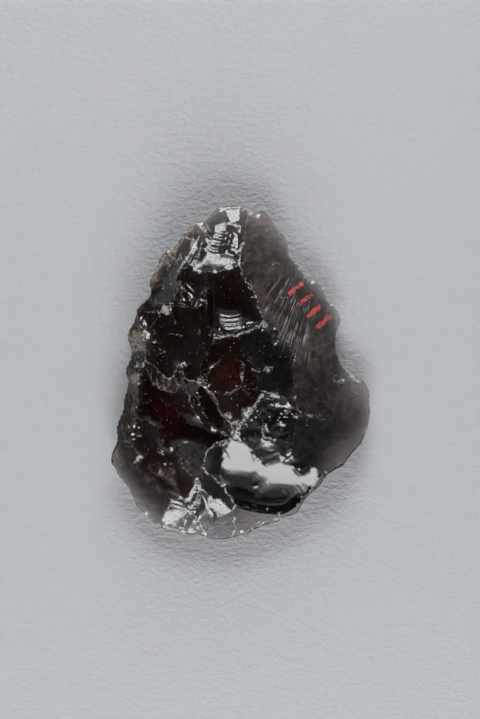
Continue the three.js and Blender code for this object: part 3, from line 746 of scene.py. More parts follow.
# %% Swells and small facets
def patchy(points, size, seed, waves=14):
    """Smooth random patches between about -1 and 1, as a sum of waves in random directions."""
    rng = np.random.default_rng(seed)
    total = np.zeros(len(points))
    for _ in range(waves):
        angle = rng.uniform(0, 2 * math.pi)
        wave = size * rng.uniform(0.6, 1.8)
        phase = rng.uniform(0, 2 * math.pi)
        total += np.sin(2 * math.pi * (points[:, 0] * math.cos(angle) + points[:, 1] * math.sin(angle))
                        / wave + phase)
    return total / math.sqrt(waves)


NET_FADE = 4
fade_at_net = np.minimum(bowl * NET_FADE, 1)
calm = area["great_bowl"] | area["ripple_bowl"] | area["top_scar"] | area["shell"]
swell = 0.020 * patchy(plan, 3.4, 21, 30) + 0.005 * patchy(plan, 1.1, 22, 40)
top += np.where(calm, 0.25, 1.0) * fade_at_net * swell
# Scar, size of the facets and their height in millimetres.
facets = [
    ("stair_face", 2.0, 0.030), ("summit", 2.4, 0.04), ("top_scar", 2.8, 0.01), ("edge_band", 1.4, 0.07),
    ("tongue", 2.8, 0.02), ("north_west", 2.0, 0.06), ("saddle", 1.8, 0.035), ("heel", 1.4, 0.06),
    ("shell_chips", 1.2, 0.02), ("west_hollow", 2.6, 0.04), ("heel_hollow", 1.8, 0.03),
]
for name, size, height in facets:
    lumps = np.abs(patchy(plan, size, 40 + len(name), 24))
    top[area[name]] += (height * fade_at_net * lumps)[area[name]]
print("scars with facets", len(facets))

# %% [markdown]
# ## Ripples
# The crack front of a blow pulses as it runs, and leaves ripples round the point that was struck. They
# are what makes a scar in glass look like a shell. Each scar has its own centre, wavelength and height.
# Where the crack ran fast it also left fine streaks that point away from the blow, and the great bowl
# shows them on both sides of its rib.

# %% Fine streaks in the great bowl
BOWL_RIB = 4.5
# The point that they fan out from, the angle between two streaks in radians, their height in
# millimetres, and the side of the rib.
for x, y, wave, size, side in [(-1.4, -10.5, 0.075, 0.008, -1), (5.0, -13.0, 0.085, 0.011, 1)]:
    angle = np.arctan2(plan[:, 1] - y, plan[:, 0] - x)
    inside = area["great_bowl"] & ((plan[:, 0] - BOWL_RIB) * side > 0)
    streak = np.sin(2 * math.pi * angle / wave + 3 * patchy(plan, 8.0, 71 + side, 8))
    top[inside] += (size * fade_at_net * streak)[inside]
print("points in the great bowl", area["great_bowl"].sum())

# %% Ripple each scar
# The top scar holds two blade scars side by side, with a slanting groove between them.
GROOVE_X = -2.4
GROOVE_Y = 27.5
GROOVE_LEAN = 0.17
beside_groove = plan[:, 0] - GROOVE_X + GROOVE_LEAN * (GROOVE_Y - plan[:, 1])
area["left_blade"] = area["top_scar"] & (beside_groove < 0)
area["right_blade"] = area["top_scar"] & (beside_groove >= 0)
# Scar, centre, first and last radius, wavelength, height of a wave, all in millimetres.
ripples = [
    ("ripple_bowl", (-1.8, 16.0), 4.4, 8.0, 0.80, 0.050),
    ("ripple_bowl", (-1.8, 16.0), 0.5, 4.6, 1.5, 0.010),
    ("left_blade", (-3.2, 31.4), 2.2, 9.0, 1.15, 0.075),
    ("right_blade", (-0.9, 32.0), 2.4, 9.5, 1.25, 0.070),
    ("shell", (-13.6, -30.6), 2.6, 7.0, 0.85, 0.070),
    ("tongue", (-7.6, -20.0), 3.0, 13.0, 2.3, 0.020),
    ("great_bowl", (1.5, -10.0), 3.0, 22.0, 2.6, 0.020),
    ("great_scar", (-3.0, -6.0), 3.0, 20.0, 3.1, 0.015),
    ("west_hollow", (-4.0, 12.0), 3.0, 18.0, 1.6, 0.022),
    ("right_facet", (19.0, 36.0), 10.0, 60.0, 4.6, 0.010),
    ("lower_flank", (2.0, -4.0), 5.0, 30.0, 3.6, 0.010),
    ("black_scar", (3.0, 12.0), 2.0, 20.0, 1.9, 0.015),
    ("north_west", (-9.0, 27.0), 2.0, 16.0, 1.3, 0.030),
    ("saddle", (-6.5, 20.0), 1.0, 10.0, 1.2, 0.035),
    ("red_window", (-12.0, -17.0), 1.0, 12.0, 1.7, 0.020),
    ("grey_window", (-26.0, -14.0), 2.0, 24.0, 2.9, 0.020),
    ("heel_hollow", (-13.0, -12.0), 1.0, 12.0, 1.5, 0.020),
]
ripple_fade = fade_at_net**0.6
for index, (name, centre, first, last, wave, size) in enumerate(ripples):
    radius = np.hypot(plan[:, 0] - centre[0], plan[:, 1] - centre[1])
    inside = area[name] & (radius > first) & (radius < last)
    span = np.clip(np.minimum(radius - first, last - radius) / wave, 0, 1)
    uneven = 0.35 * wave * patchy(plan, 9.0, 400 + index, 8)
    shape = np.sin(2 * math.pi * (radius + uneven) / wave)
    fade = ripple_fade * span * (0.7 + 0.3 * patchy(plan, 6.0, 500 + index, 8))
    top[inside] += (size * shape * fade)[inside]
print("ripple trains", len(ripples))

# %% [markdown]
# ## Chips along the ridges and the rim
# A sharp edge of glass loses tiny flakes whenever it touches something. Each chip is a shallow dish cut
# out of the surface, centred near an edge. They are strewn with a seeded generator, more densely along
# the blunt left band, where the real stone was battered.

# %% Strew the chips
rng = np.random.default_rng(77)
chips = []


def chips_along(line, spacing, smallest, largest, spread):
    """Notes chips along a line: spacing, radii and sideways spread, all in millimetres."""
    length = np.linalg.norm(np.diff(line[:, :2], axis=0), axis=1).sum()
    for _ in range(int(length / spacing)):
        x, y = line[rng.integers(len(line)), :2] + rng.normal(0, spread, 2)
        radius = smallest * (largest / smallest) ** rng.random() ** 1.6
        chips.append((x, y, radius, radius * rng.uniform(0.10, 0.24)))


for name, line in ridges.items():
    chips_along(line, 1.3, 0.20, 0.6, 0.12)
for name in ("step_east_half", "step_west_half", "stairs", "summit_edge", "wavy_ridge", "chips_left",
             "chips_right", "flank_upper", "flank_mid", "red_lower", "heel_top"):
    chips_along(ridges[name], 0.40, 0.20, 0.8, 0.35)
chips_along(rim, 0.55, 0.25, 1.0, 0.2)
for name in ("band_upper", "band_mid", "band_lower"):
    chips_along(ridges[name], 0.16, 0.3, 1.3, 0.9)
for x, y, radius, depth in chips:
    near = np.flatnonzero((np.abs(plan[:, 0] - x) < radius) & (np.abs(plan[:, 1] - y) < radius))
    share = 1 - ((plan[near] - (x, y)) ** 2).sum(axis=1) / radius**2
    top[near] -= depth * np.clip(share, 0, 1)
# The net is drawn for a lower stone, so everything is stretched to the height of the plain model.
top *= stretch
print("chips", len(chips))

# %% [markdown]
# ## The underside
# The underside is the older, flatter break. It lies on a flat patch and curves up to the rim. It gets a
# coarser mesh of its own whose border points are the same as the top's, so that the two sides join.

# %% Solve for the underside
resting_face = [
    (-7, 16.5), (-3, 18), (1, 17), (4, 15), (7, 10.5), (9, 6), (10.5, 1), (11, -4), (10, -9.5), (8, -14),
    (4.5, -17.5), (0, -20), (-5, -20), (-9, -19), (-12.5, -16), (-15, -12), (-16, -7), (-16, -2),
    (-15, 3), (-13, 8), (-10.5, 12.5),
]
foot = smooth_line([(x, y, 0) for x, y in resting_face + resting_face[:1]], UNDER_STEP)
# The glass is thin under the flange, and steps down to the thick part along the foot of the great bowl.
thin_flange = smooth_line(
    [(-0.8, -26.9, 3.2), (1.4, -27.6, 3.2), (5.4, -28.3, 3.1), (8.9, -28.2, 3.0), (12.2, -26.0, 2.9)],
    UNDER_STEP,
)
flange_step = smooth_line(
    [(-0.7, -25.4, 0.7), (1.4, -26.0, 0.6), (5.3, -26.7, 0.6), (8.3, -26.5, 0.6), (10.4, -24.7, 0.8),
     (12.2, -22.6, 1.0), (14.0, -21.2, 1.4)],
    UNDER_STEP,
)
under_lines = [foot, flange_step, thin_flange]
under_plan, under_triangles, under_source, _ = triangulate(rim, under_lines, UNDER_STEP)
at_rim = (under_source >= 0) & (under_source < len(rim))
on_line = under_source >= len(rim)
under_height = np.zeros(len(under_plan))
under_height[at_rim] = (rim[:, 2] * stretch - rim_edge)[under_source[at_rim]]
under_height[on_line] = stretch * np.vstack(under_lines)[under_source[on_line] - len(rim), 2]
under = solve_film(film_weights(under_plan, under_triangles), at_rim | on_line, under_height, 0.0)
# The lowest part leaves the table softly, and faint ripples cross the rest.
SOFT_RISE = 1.3
UNDER_BLOW = (6.0, 30.0)
UNDER_WAVE = 3.4
UNDER_RIPPLE = 0.05
lift = np.clip(under / SOFT_RISE, 0, 1)
under *= lift**2 * (3 - 2 * lift)
away = np.hypot(under_plan[:, 0] - UNDER_BLOW[0], under_plan[:, 1] - UNDER_BLOW[1])
away += 0.8 * patchy(under_plan, 12.0, 31, 8)
under += UNDER_RIPPLE * lift * np.sin(2 * math.pi * away / UNDER_WAVE)
under[at_rim] = under_height[at_rim]
under = np.maximum(under, 0)
print("underside points", len(under_plan), "seconds", round(time.time() - started, 1))

# %% [markdown]
# ## Join the two sides
# The rim of the real stone isn't a knife edge all round. It has a narrow broken face, and this one has
# a few rows of faces between the top's border and the underside's.

# %% How thick the stone is everywhere
LEAST_THICKNESS = 0.12
ROOM_ABOVE = 0.01
tree = KDTree(len(under_plan))
for i, (x, y) in enumerate(under_plan):
    tree.insert((x, y, 0), i)
tree.balance()
below = np.array([under[tree.find((x, y, 0))[1]] for x, y in plan])
top = np.clip(top, below + LEAST_THICKNESS, high[2] - ROOM_ABOVE)
print("thickness from", (top - below).min().round(2), "to", (top - below).max().round(2))

# %% The broken face along the rim
WALL_ROWS = 3
WALL_HOLLOW = 0.10
top_ring = np.zeros(len(rim), int)
top_ring[source[kind == IS_RIM]] = np.flatnonzero(kind == IS_RIM)
under_ring = np.zeros(len(rim), int)
under_ring[under_source[at_rim]] = np.flatnonzero(at_rim)
along = np.roll(rim[:, :2], -1, axis=0) - np.roll(rim[:, :2], 1, axis=0)
along /= np.linalg.norm(along, axis=1)[:, None]
inward = np.c_[along[:, 1], -along[:, 0]]
wall = []
for row in range(1, WALL_ROWS + 1):
    part = row / (WALL_ROWS + 1)
    hollow = WALL_HOLLOW * rim_edge * math.sin(math.pi * part) * (1 + patchy(rim[:, :2], 1.5, 600 + row, 8))
    place = rim[:, :2] + inward * np.maximum(hollow, 0)[:, None]
    height = top[top_ring] * (1 - part) + under[under_ring] * part
    wall.append(np.c_[place, height])
vertices = np.vstack([np.c_[plan, top]] + wall + [np.c_[under_plan, under]])
print("points in all", len(vertices))

# %% Faces and mesh
SHARP_DEGREES = 24
rings = [top_ring]
rings += [len(plan) + row * len(rim) + np.arange(len(rim)) for row in range(WALL_ROWS)]
rings += [len(plan) + WALL_ROWS * len(rim) + under_ring]


def facing(faces, points, up):
    """Turns every triangle so that it faces up, or down."""
    a, b, c = (points[faces[:, n]] for n in range(3))
    area = (b[:, 0] - a[:, 0]) * (c[:, 1] - a[:, 1]) - (b[:, 1] - a[:, 1]) * (c[:, 0] - a[:, 0])
    wrong = (area > 0) != up
    faces = faces.copy()
    faces[wrong] = faces[wrong][:, ::-1]
    return faces


faces = [facing(triangles, plan, True)]
for upper, lower in zip(rings, rings[1:]):
    upper_next = np.roll(upper, -1)
    lower_next = np.roll(lower, -1)
    faces.append(np.c_[upper, upper_next, lower_next])
    faces.append(np.c_[upper, lower_next, lower])
faces.append(facing(under_triangles, under_plan, False) + len(plan) + WALL_ROWS * len(rim))
faces = np.vstack(faces)
_, beside = edge_table(faces)
print("triangles", len(faces), "open edges", (beside[:, 1] < 0).sum())

mesh = bpy.data.meshes.new("obsidian_chunk_glass")
mesh.from_pydata((vertices * MM).tolist(), [], faces.tolist())
mesh.validate()
mesh.shade_smooth()
mesh.set_sharp_from_angle(angle=math.radians(SHARP_DEGREES))
stone = bpy.data.objects.new("obsidian_chunk_glass", mesh)
bpy.context.collection.objects.link(stone)
print("mesh made, seconds", round(time.time() - started, 1))

# %% [markdown]
# ## Where the surface isn't clean glass
# The thin pale lines along the edges are painted highlights, where a sharp edge would catch the light.
# The look of a worn stone is in small places: ridges that are crushed white, a skin of grit on the old
# outer face, red streaks, and fine radial tears called hackles. Each becomes a number on every vertex,
# which the material reads. A number on the mesh stays with the stone when it is moved.
# Distances are measured from a slightly wobbly plan, so that no spot is round and no line is even.

# %% Spots and lines
wobble = np.stack([patchy(plan, 1.0, 81, 30), patchy(plan, 1.0, 82, 30)], axis=1)
SPOT_WOBBLE = 0.20
LINE_WOBBLE = 0.07


def add_spots(field, spots):
    """Adds ragged spots: x, y, radius in millimetres, strength."""
    for x, y, radius, strength in spots:
        far = ((plan + SPOT_WOBBLE * wobble - (x, y)) ** 2).sum(axis=1) / radius**2
        field = np.maximum(field, strength * np.exp(-far**1.5))
    return field


def add_line(field, line, width, strength):
    """Adds a line that fades out at about twice its half width, all in millimetres."""
    reach = 2.5 * width
    low_end = line[:, :2].min(axis=0) - reach
    high_end = line[:, :2].max(axis=0) + reach
    near = np.flatnonzero(((plan > low_end) & (plan < high_end)).all(axis=1))
    bent = plan[near] + LINE_WOBBLE * wobble[near]
    distance = ((bent[:, None] - line[None, :, :2]) ** 2).sum(axis=2).min(axis=1)
    field[near] = np.maximum(field[near], strength * np.exp(-distance / width**2))
    return field


print("the plan wobbles by up to", (SPOT_WOBBLE * np.abs(wobble).max()).round(2), "mm")

# %% [markdown]
# ## Crushed ridges and painted highlights on edges
# Where a ridge was rubbed or struck, its glass is crushed to a fine white powder that stays in place.
# The ridges that stand out most have much of it. Every other ridge and the rim get a thin pale line, a
# painted highlight where the sharp edge would catch the light. Small marks that no ridge explains are
# drawn as lines of their own, some of them painted highlights, and fine scratches from a long time in the
# ground are strewn.

# %% Half width in millimetres and strength of the crushed line on each arris
worn = {
    "step_east_half": (0.42, 1.00), "step_west_half": (0.38, 1.00), "wavy_ridge": (0.40, 0.55),
    "stairs": (0.60, 0.88), "summit_edge": (0.40, 0.66), "bowl_top_middle": (0.22, 0.66),
    "bowl_top_west": (0.35, 0.75), "bowl_side": (0.40, 0.70), "chips_left": (0.45, 0.93),
    "chips_right": (0.40, 0.79), "flange_left": (0.45, 1.00), "flange_link": (0.35, 0.88),
    "tongue_right": (0.25, 0.75), "tongue_left": (0.30, 0.66), "blade": (0.34, 1.00),
    "blade_foot": (0.30, 0.95),
    "red_lower": (0.30, 0.61), "red_upper": (0.22, 0.52), "band_upper": (0.30, 0.45),
    "band_mid": (0.25, 0.42), "band_lower": (0.25, 0.42), "heel_top": (0.30, 0.56),
    "scar_end": (0.25, 0.75), "scar_end_west": (0.30, 0.70), "top_left": (0.22, 0.66),
    "long_ridge": (0.30, 0.70), "link": (0.30, 0.70), "west_ridge": (0.25, 0.56),
    "saddle_foot": (0.25, 0.56), "shoulder": (0.20, 0.52), "bowl_right": (0.30, 0.61),
    "top_ridge": (0.22, 0.61), "flank_upper": (0.22, 0.52), "flank_mid": (0.25, 0.66),
    "facet_fold": (0.20, 0.38), "crack": (0.12, 0.50), "crack_foot": (0.25, 0.56),
    "rough_edge": (0.2, 0.0), "window_line": (0.15, 0.41), "heel_line": (0.14, 0.36),
    "shell_left": (0.20, 0.61), "shell_top": (0.25, 0.66), "shell_right": (0.25, 0.70),
}
# Every arris not listed, and the rim, get a thin pale line: a painted highlight where the edge would catch
# the light.
OTHER_ARRIS_GLINT = (0.20, 0.45)
RIM_GLINT = (0.2, 0.35)
MINOR_LINE = (0.17, 0.50)
NARROWED = 0.75
frost = np.zeros(len(plan))
for name, line in ridges.items():
    width, strength = worn.get(name, OTHER_ARRIS_GLINT)
    frost = add_line(frost, line, NARROWED * width, strength)
frost = add_line(frost, rim, *RIM_GLINT)
for line in minor_lines:
    frost = add_line(frost, line, *MINOR_LINE)
print("points with crushed glass", (frost > 0.3).sum())

# %% Scuffs, whitened lines and painted highlights that no ridge explains: half width, strength, points
SCUFF_WANDER = 0.05
scuffs_and_glints = [
    # These lines on the upper left are painted highlights, where its small ridges would flash under the
    # lights.
    (0.40, 0.85, [(-9.6, 26.2), (-10.1, 23.4), (-11.2, 21.4), (-12.3, 19.8)]),
    (0.25, 0.45, [(-7.3, 25.8), (-9.0, 22.0), (-10.0, 20.5)]),
    (0.50, 0.65, [(-16.8, 20.2), (-15.9, 22.0), (-15.0, 23.6)]),
    (0.40, 0.60, [(-8.6, 29.6), (-7.6, 28.6), (-7.1, 27.4)]),
    (0.25, 0.80, [(-14.3, 23.3), (-13.7, 22.8), (-13.0, 22.4)]),
    (0.25, 0.80, [(-12.8, 22.0), (-12.2, 22.4), (-12.0, 23.3)]),
    (0.30, 0.80, [(-9.8, 21.3), (-9.0, 20.6), (-8.4, 19.7)]),
    (0.20, 0.45, [(-20.0, 12.2), (-17.5, 12.0), (-15.5, 12.2)]),
    (0.20, 0.40, [(-17.9, 8.6), (-17.0, 10.4), (-15.6, 11.6)]),
    (0.20, 0.40, [(-14.4, 12.2), (-13.0, 11.0), (-12.8, 9.6)]),
    (0.25, 0.45, [(-14.2, 13.6), (-12.6, 13.8), (-11.0, 13.4)]),
    (0.20, 0.42, [(-13.0, 7.6), (-12.2, 7.6), (-11.5, 7.3)]),
    (0.20, 0.42, [(-16.5, 3.6), (-15.8, 3.7), (-15.0, 4.3)]),
    (0.65, 0.36, [(-18.0, -0.8), (-16.5, -2.2), (-14.0, -2.9), (-12.5, -2.2)]),
    (0.40, 0.50, [(-17.6, 0.6), (-17.5, -1.0), (-17.1, -2.4)]),
    (0.35, 0.50, [(-16.4, 0.2), (-16.4, -1.4), (-16.1, -3.0)]),
    (0.40, 0.50, [(-15.2, -0.6), (-15.2, -2.0), (-14.9, -3.4)]),
    (0.35, 0.50, [(-14.1, -1.1), (-13.9, -2.4), (-13.6, -3.6)]),
    (0.35, 0.50, [(-12.9, 0.2), (-12.7, -1.2), (-12.2, -2.4)]),
    (0.30, 0.50, [(-11.9, 1.2), (-11.7, 0.0), (-11.3, -1.4)]),
    # More painted highlights on the small ridges of the upper left.
    (0.25, 0.80, [(-12.4, 27.2), (-11.0, 27.0), (-9.8, 26.4)]),
    (0.30, 0.75, [(-8.3, 27.0), (-9.4, 23.8), (-10.4, 21.6)]),
    (0.22, 0.70, [(-12.6, 25.0), (-13.4, 22.4), (-14.6, 20.4)]),
    (0.22, 0.60, [(-13.6, 20.4), (-14.0, 18.6), (-13.6, 17.0)]),
    (0.45, 0.55, [(-7.9, 24.6), (-8.3, 22.8), (-9.0, 21.4)]),
    (0.20, 0.42, [(-9.9, 17.5), (-10.2, 15.5), (-9.2, 13.9)]),
    (0.25, 0.45, [(-7.2, 16.5), (-7.9, 14.8), (-8.2, 13.5)]),
    (0.20, 0.60, [(6.5, 5.4), (7.2, 6.5), (7.5, 7.8)]),
    (0.22, 0.75, [(8.5, 6.9), (9.0, 6.4), (9.5, 6.0)]),
    (0.25, 0.60, [(2.1, 0.8), (3.5, 0.1), (4.8, 0.3), (6.2, 1.2)]),
    (0.25, 0.85, [(4.0, -3.6), (4.8, -3.7), (5.6, -4.0)]),
    (0.35, 0.95, [(5.8, -4.2), (6.6, -4.4), (7.4, -4.8)]),
    (0.42, 0.50, [(0.0, 2.2), (0.3, 0.0), (0.2, -2.2), (-1.5, -3.3), (-3.3, -4.4)]),
    (0.20, 0.40, [(-4.4, 1.4), (-4.3, 2.4), (-4.0, 3.4)]),
    (0.40, 0.95, [(4.3, -11.8), (4.7, -12.8), (5.6, -13.3), (6.8, -13.4)]),
    (0.20, 0.50, [(2.3, -15.6), (2.4, -14.4), (3.0, -13.8)]),
    (0.20, 0.50, [(8.0, -15.4), (8.3, -16.0), (8.7, -16.4)]),
    (0.25, 0.50, [(10.8, -8.4), (13.2, -8.4), (15.0, -8.6), (17.0, -9.4)]),
    (0.18, 0.70, [(18.3, -1.2), (19.6, -0.7), (21.2, -1.5), (19.8, -2.2), (18.3, -1.2)]),
    (0.25, 0.90, [(19.5, -1.7), (20.1, -1.6), (20.8, -1.6)]),
    (0.13, 0.45, [(20.3, -5.8), (20.8, -6.4), (21.2, -7.0)]),
    (0.13, 0.40, [(16.0, -4.0), (16.6, -4.0), (17.2, -3.8)]),
    (0.50, 0.85, [(21.8, -0.6), (22.8, -1.0), (23.7, -1.8)]),
    (0.20, 0.45, [(24.6, -6.0), (25.1, -7.6), (25.0, -9.4)]),
    (0.25, 0.65, [(1.0, 26.7), (2.0, 27.0), (3.0, 27.2)]),
    (0.20, 0.45, [(3.0, 28.4), (4.0, 28.6), (5.0, 28.2)]),
    (0.20, 0.50, [(4.8, 29.6), (5.2, 29.4), (5.3, 29.0)]),
    (0.25, 0.50, [(6.3, 21.5), (7.0, 22.0), (7.6, 21.6)]),
    (0.16, 0.60, [(0.2, 21.3), (0.9, 22.6), (1.5, 23.5)]),
    (0.14, 0.50, [(-2.0, -20.2), (-0.3, -20.8), (-1.3, -22.6)]),
    (0.13, 0.50, [(5.0, -23.7), (5.5, -24.3), (6.0, -24.9)]),
    (0.13, 0.45, [(2.1, -25.2), (2.6, -26.2), (3.3, -26.8)]),
    (0.50, 0.70, [(-15.5, -30.6), (-13.8, -31.2), (-12.0, -31.8)]),
    (0.60, 0.95, [(-8.3, -21.8), (-8.2, -23.4), (-8.5, -25.2)]),
    (0.90, 0.95, [(-6.2, -25.4), (-5.4, -26.3), (-4.6, -27.6)]),
    # A painted highlight: the bright crescent at the top of the bowl's west side.
    (0.45, 0.60, [(-4.4, -14.5), (-2.9, -13.8), (-1.5, -13.3)]),
    (0.12, 0.60, [(-11.4, -2.4), (-9.9, -5.6), (-8.7, -8.4), (-8.0, -10.3)]),
]
for width, strength, points in scuffs_and_glints:
    line = smooth_line([(x, y, 0) for x, y in points], TOP_STEP)
    frost = add_line(frost, wander(line, SCUFF_WANDER, seed=300 + len(points)), width, strength)
print("scuffs_and_glints", len(scuffs_and_glints))

# %% Fine scratches in any direction
SCRATCHES = 90
SCRATCH_WIDTH = 0.11
rng = np.random.default_rng(12)
for _ in range(SCRATCHES):
    x, y = rng.uniform(-20, 20), rng.uniform(-27, 27)
    angle = rng.uniform(0, 2 * math.pi)
    length = 0.6 + 3.0 * rng.random() ** 2
    bend = rng.normal(0, 0.12 * length)
    across = (math.cos(angle), math.sin(angle))
    line = smooth_line([
        (x, y, 0), (x + across[0] * length / 2 - across[1] * bend,
                    y + across[1] * length / 2 + across[0] * bend, 0),
        (x + across[0] * length, y + across[1] * length, 0),
    ], TOP_STEP)
    frost = add_line(frost, line, SCRATCH_WIDTH, rng.uniform(0.30, 0.62))
print("scratches", SCRATCHES)

# %% [markdown]
# ## Crumbled places, grit and old skin
# Where blows ended badly the glass is crumbled, and crumbs of it catch the light. The blunt left edge
# keeps the gritty skin that the lump had before it was worked, and a strip of it on the upper left is
# brown from the soil. A few plain strokes of red paint stand on the right facet.

# %% Crumbled places and white spots: x, y, radius in millimetres, strength
crumble = add_spots(np.zeros(len(plan)), [
    (-2.0, -9.4, 2.2, 1.0), (2.2, -8.4, 2.2, 0.9), (4.0, -9.6, 3.4, 0.55), (8.4, -8.2, 2.6, 0.8),
    (5.6, -12.4, 2.0, 0.7),
    (-5.0, -27.0, 1.7, 1.0), (-8.3, -23.4, 1.3, 0.9), (-14.8, 12.4, 1.8, 1.0), (4.4, 9.2, 1.2, 1.0),
    (-1.0, -12.6, 2.0, 0.8), (-7.8, -1.6, 1.8, 0.8), (-1.0, -5.8, 2.2, 0.6), (-4.5, -13.6, 1.4, 0.7),
    (2.4, 15.0, 1.6, 0.5), (-12.0, -31.2, 1.8, 0.8), (-0.8, -29.5, 1.6, 0.8), (5.4, 1.0, 1.4, 0.6),
    (-9.6, 21.0, 1.3, 0.6), (-8.6, 14.2, 1.4, 0.6), (-19.8, 1.6, 1.6, 0.8), (6.5, -4.4, 1.2, 0.8),
    (8.6, 15.0, 2.4, 0.5), (-22.5, -22.5, 1.0, 0.6), (1.2, 18.2, 1.2, 0.5), (0.4, -1.4, 2.4, 0.42),
    (-3.4, 1.4, 1.6, 0.4), (-15.0, -6.0, 4.0, 0.28), (-16.0, 4.0, 3.0, 0.25), (14.0, -12.0, 3.5, 0.25),
])
frost = add_spots(frost, [
    (-14.8, 12.4, 1.15, 1.0), (-15.3, 16.8, 0.4, 0.8), (-8.6, 13.4, 0.6, 0.7), (-7.8, -1.5, 1.1, 0.6),
    (4.4, 9.3, 0.8, 1.0), (-2.5, -8.2, 0.8, 0.9), (1.9, -7.2, 0.75, 1.0), (-1.0, -9.8, 0.8, 0.8),
    (0.8, -10.0, 0.7, 0.8), (7.1, -6.4, 0.5, 0.9), (8.9, -7.8, 0.6, 0.7), (11.0, -8.5, 0.6, 0.8),
    (7.6, -9.5, 0.5, 0.7), (4.8, -10.5, 0.5, 0.7), (-1.5, -11.8, 0.8, 0.8), (6.5, -4.5, 0.7, 0.9),
    (10.6, -5.0, 0.5, 0.8), (-9.0, -22.0, 0.7, 0.7), (-8.7, -26.0, 0.9, 0.9), (-5.0, -26.9, 1.3, 0.75),
    (-8.2, -23.4, 0.8, 0.8), (-15.8, -15.8, 0.6, 0.8), (-9.0, 20.4, 0.7, 0.8), (-3.9, 32.2, 0.5, 0.9),
    (0.1, 19.2, 0.4, 0.8), (0.8, 18.3, 0.35, 0.8), (1.7, 16.7, 0.35, 0.8), (2.8, 14.9, 0.4, 0.8),
    (3.4, 12.8, 0.4, 0.8), (24.5, -11.0, 0.5, 0.7), (22.8, -1.2, 0.7, 0.6), (5.2, 0.7, 0.8, 0.7),
    (-20.5, 1.5, 0.6, 0.9), (-19.2, 1.5, 0.5, 0.9), (7.8, -28.2, 0.35, 0.9), (5.3, -27.3, 0.3, 0.8),
    (12.3, -25.0, 0.3, 0.8), (2.3, -31.4, 0.45, 0.9), (-13.8, -31.2, 0.8, 0.8), (-11.6, -31.6, 0.6, 0.8),
])
print("crumbled points", (crumble > 0.3).sum())

# %% Grit, old skin and paint
SKIN = 0.32
grit = np.where(area["edge_band"] | area["heel"], SKIN, 0.0)
grit = add_spots(grit, [
    (-20.4, 6.2, 2.6, 0.85), (-22.5, -11.0, 1.6, 0.6), (-21.0, -1.0, 1.6, 0.6),
    (-16.4, 18.6, 2.4, 0.48), (-14.6, 22.6, 2.2, 0.48), (-12.4, 25.6, 1.8, 0.5), (-11.8, 17.0, 2.0, 0.4),
])
brown_edge = smooth_line([(-14.2, 23.6, 0), (-12.0, 26.6, 0), (-9.8, 28.9, 0)], TOP_STEP)
cortex = add_line(np.zeros(len(plan)), brown_edge, 0.7, 1.0)
BRUSH_HALF_WIDTH = 0.42
paint = np.zeros(len(plan))
for x, y in [(10.8, 16.6), (12.7, 14.4), (14.6, 12.2), (16.5, 10.0)]:
    stroke = smooth_line([(x - 1.1, y - 0.9, 0), (x, y + 0.1, 0), (x + 1.2, y + 1.0, 0)], TOP_STEP)
    paint = add_line(paint, stroke, BRUSH_HALF_WIDTH, 1.0)
print("painted points", (paint > 0.3).sum())

# %% Hackles: x, y, radius in millimetres, strength
torn = np.where(area["rough_facet"], 0.22, 0.0)
torn = np.where(area["right_facet"], 0.08, torn)
torn *= np.clip((plan[:, 1] + 1) / 4, 0, 1)
torn = add_spots(torn, [
    (8.6, 17.8, 3.4, 0.9), (9.4, 12.6, 3.8, 1.0), (11.0, 7.6, 3.4, 1.0), (12.4, 3.4, 2.4, 0.9),
    (5.8, 13.6, 2.2, 0.9), (12.4, 12.0, 2.6, 0.7), (6.4, 20.0, 1.6, 0.7),
])
print("points with hackles", (torn > 0.3).sum())

# %% [markdown]
# ## The tone from inside
# Obsidian is black only where it is thick. Fine crystals and dust of iron oxide inside it send a little
# light back, smoky grey or red-brown, and a thin edge lets light through from the paper. So every scar
# has a tone of its own, spots of other tones lie over them, and all are blurred so that no border shows.
# The hue is the tone at full strength. The haze says how much of the light the inside sends back, and it
# grows with the thickness of the glass.

# %% Tone, hue and haze
# How bright a white, matt surface would look under the lights of this scene.
WHITE_LOOKS = 1.22
HAZE_DEPTH = 1.5
TONE_ROUNDS = 40


def linear(hex_colour):
    """An sRGB colour as a picture editor shows it, turned into the linear light that Blender uses."""
    channels = [int(hex_colour[i:i + 2], 16) / 255 for i in (1, 3, 5)]
    return [c / 12.92 if c <= 0.04045 else ((c + 0.055) / 1.055) ** 2.4 for c in channels] + [1.0]


tones = np.array([linear(colour)[:3] for _, _, colour in scars.values()])
tone = tones[scar_of_point]
# The grey spot at (-8.6, -16.4) belongs to the painted sheen on the dark panel.
for x, y, radius, colour in [
    (16.6, 6.0, 4.5, "#4c4745"), (5.0, 25.0, 5.0, "#474240"), (-1.5, 17.6, 2.4, "#1a0a07"),
    (-2.4, -0.6, 2.0, "#34120c"), (-13.5, -6.0, 3.4, "#160302"), (-1.0, -6.0, 2.0, "#200c08"),
    (5.4, 16.0, 1.8, "#38170f"), (-20.4, 6.2, 2.4, "#403b36"), (-12.0, -21.0, 2.6, "#1c0d0c"),
    (-9.0, 9.0, 3.0, "#120706"), (21.8, -4.6, 3.2, "#444040"), (-8.6, -16.4, 2.0, "#2a2829"),
    (-14.8, -8.4, 1.7, "#230503"), (-13.6, -12.2, 1.3, "#220604"), (-15.6, -18.4, 1.6, "#250b08"),
]:
    share = np.exp(-((plan[:, 0] - x) ** 2 + (plan[:, 1] - y) ** 2) / radius**2)[:, None]
    tone = tone * (1 - share) + np.array(linear(colour)[:3]) * share
for _ in range(TONE_ROUNDS):
    tone = np.stack([averaged(tone[:, channel]) for channel in range(3)], axis=1)
strongest = tone.max(axis=1)
hue = tone / strongest[:, None]
haze = strongest / WHITE_LOOKS * (1 - np.exp(-(top - below) / HAZE_DEPTH))
print("haze from", haze.min().round(4), "to", haze.max().round(4))

# %% Write the fields on the mesh
def to_mesh(values, other):
    """Extends values of the upper side to the wall and the underside."""
    rest = len(vertices) - len(plan)
    return np.concatenate([values, np.full((rest,) + values.shape[1:], other)])


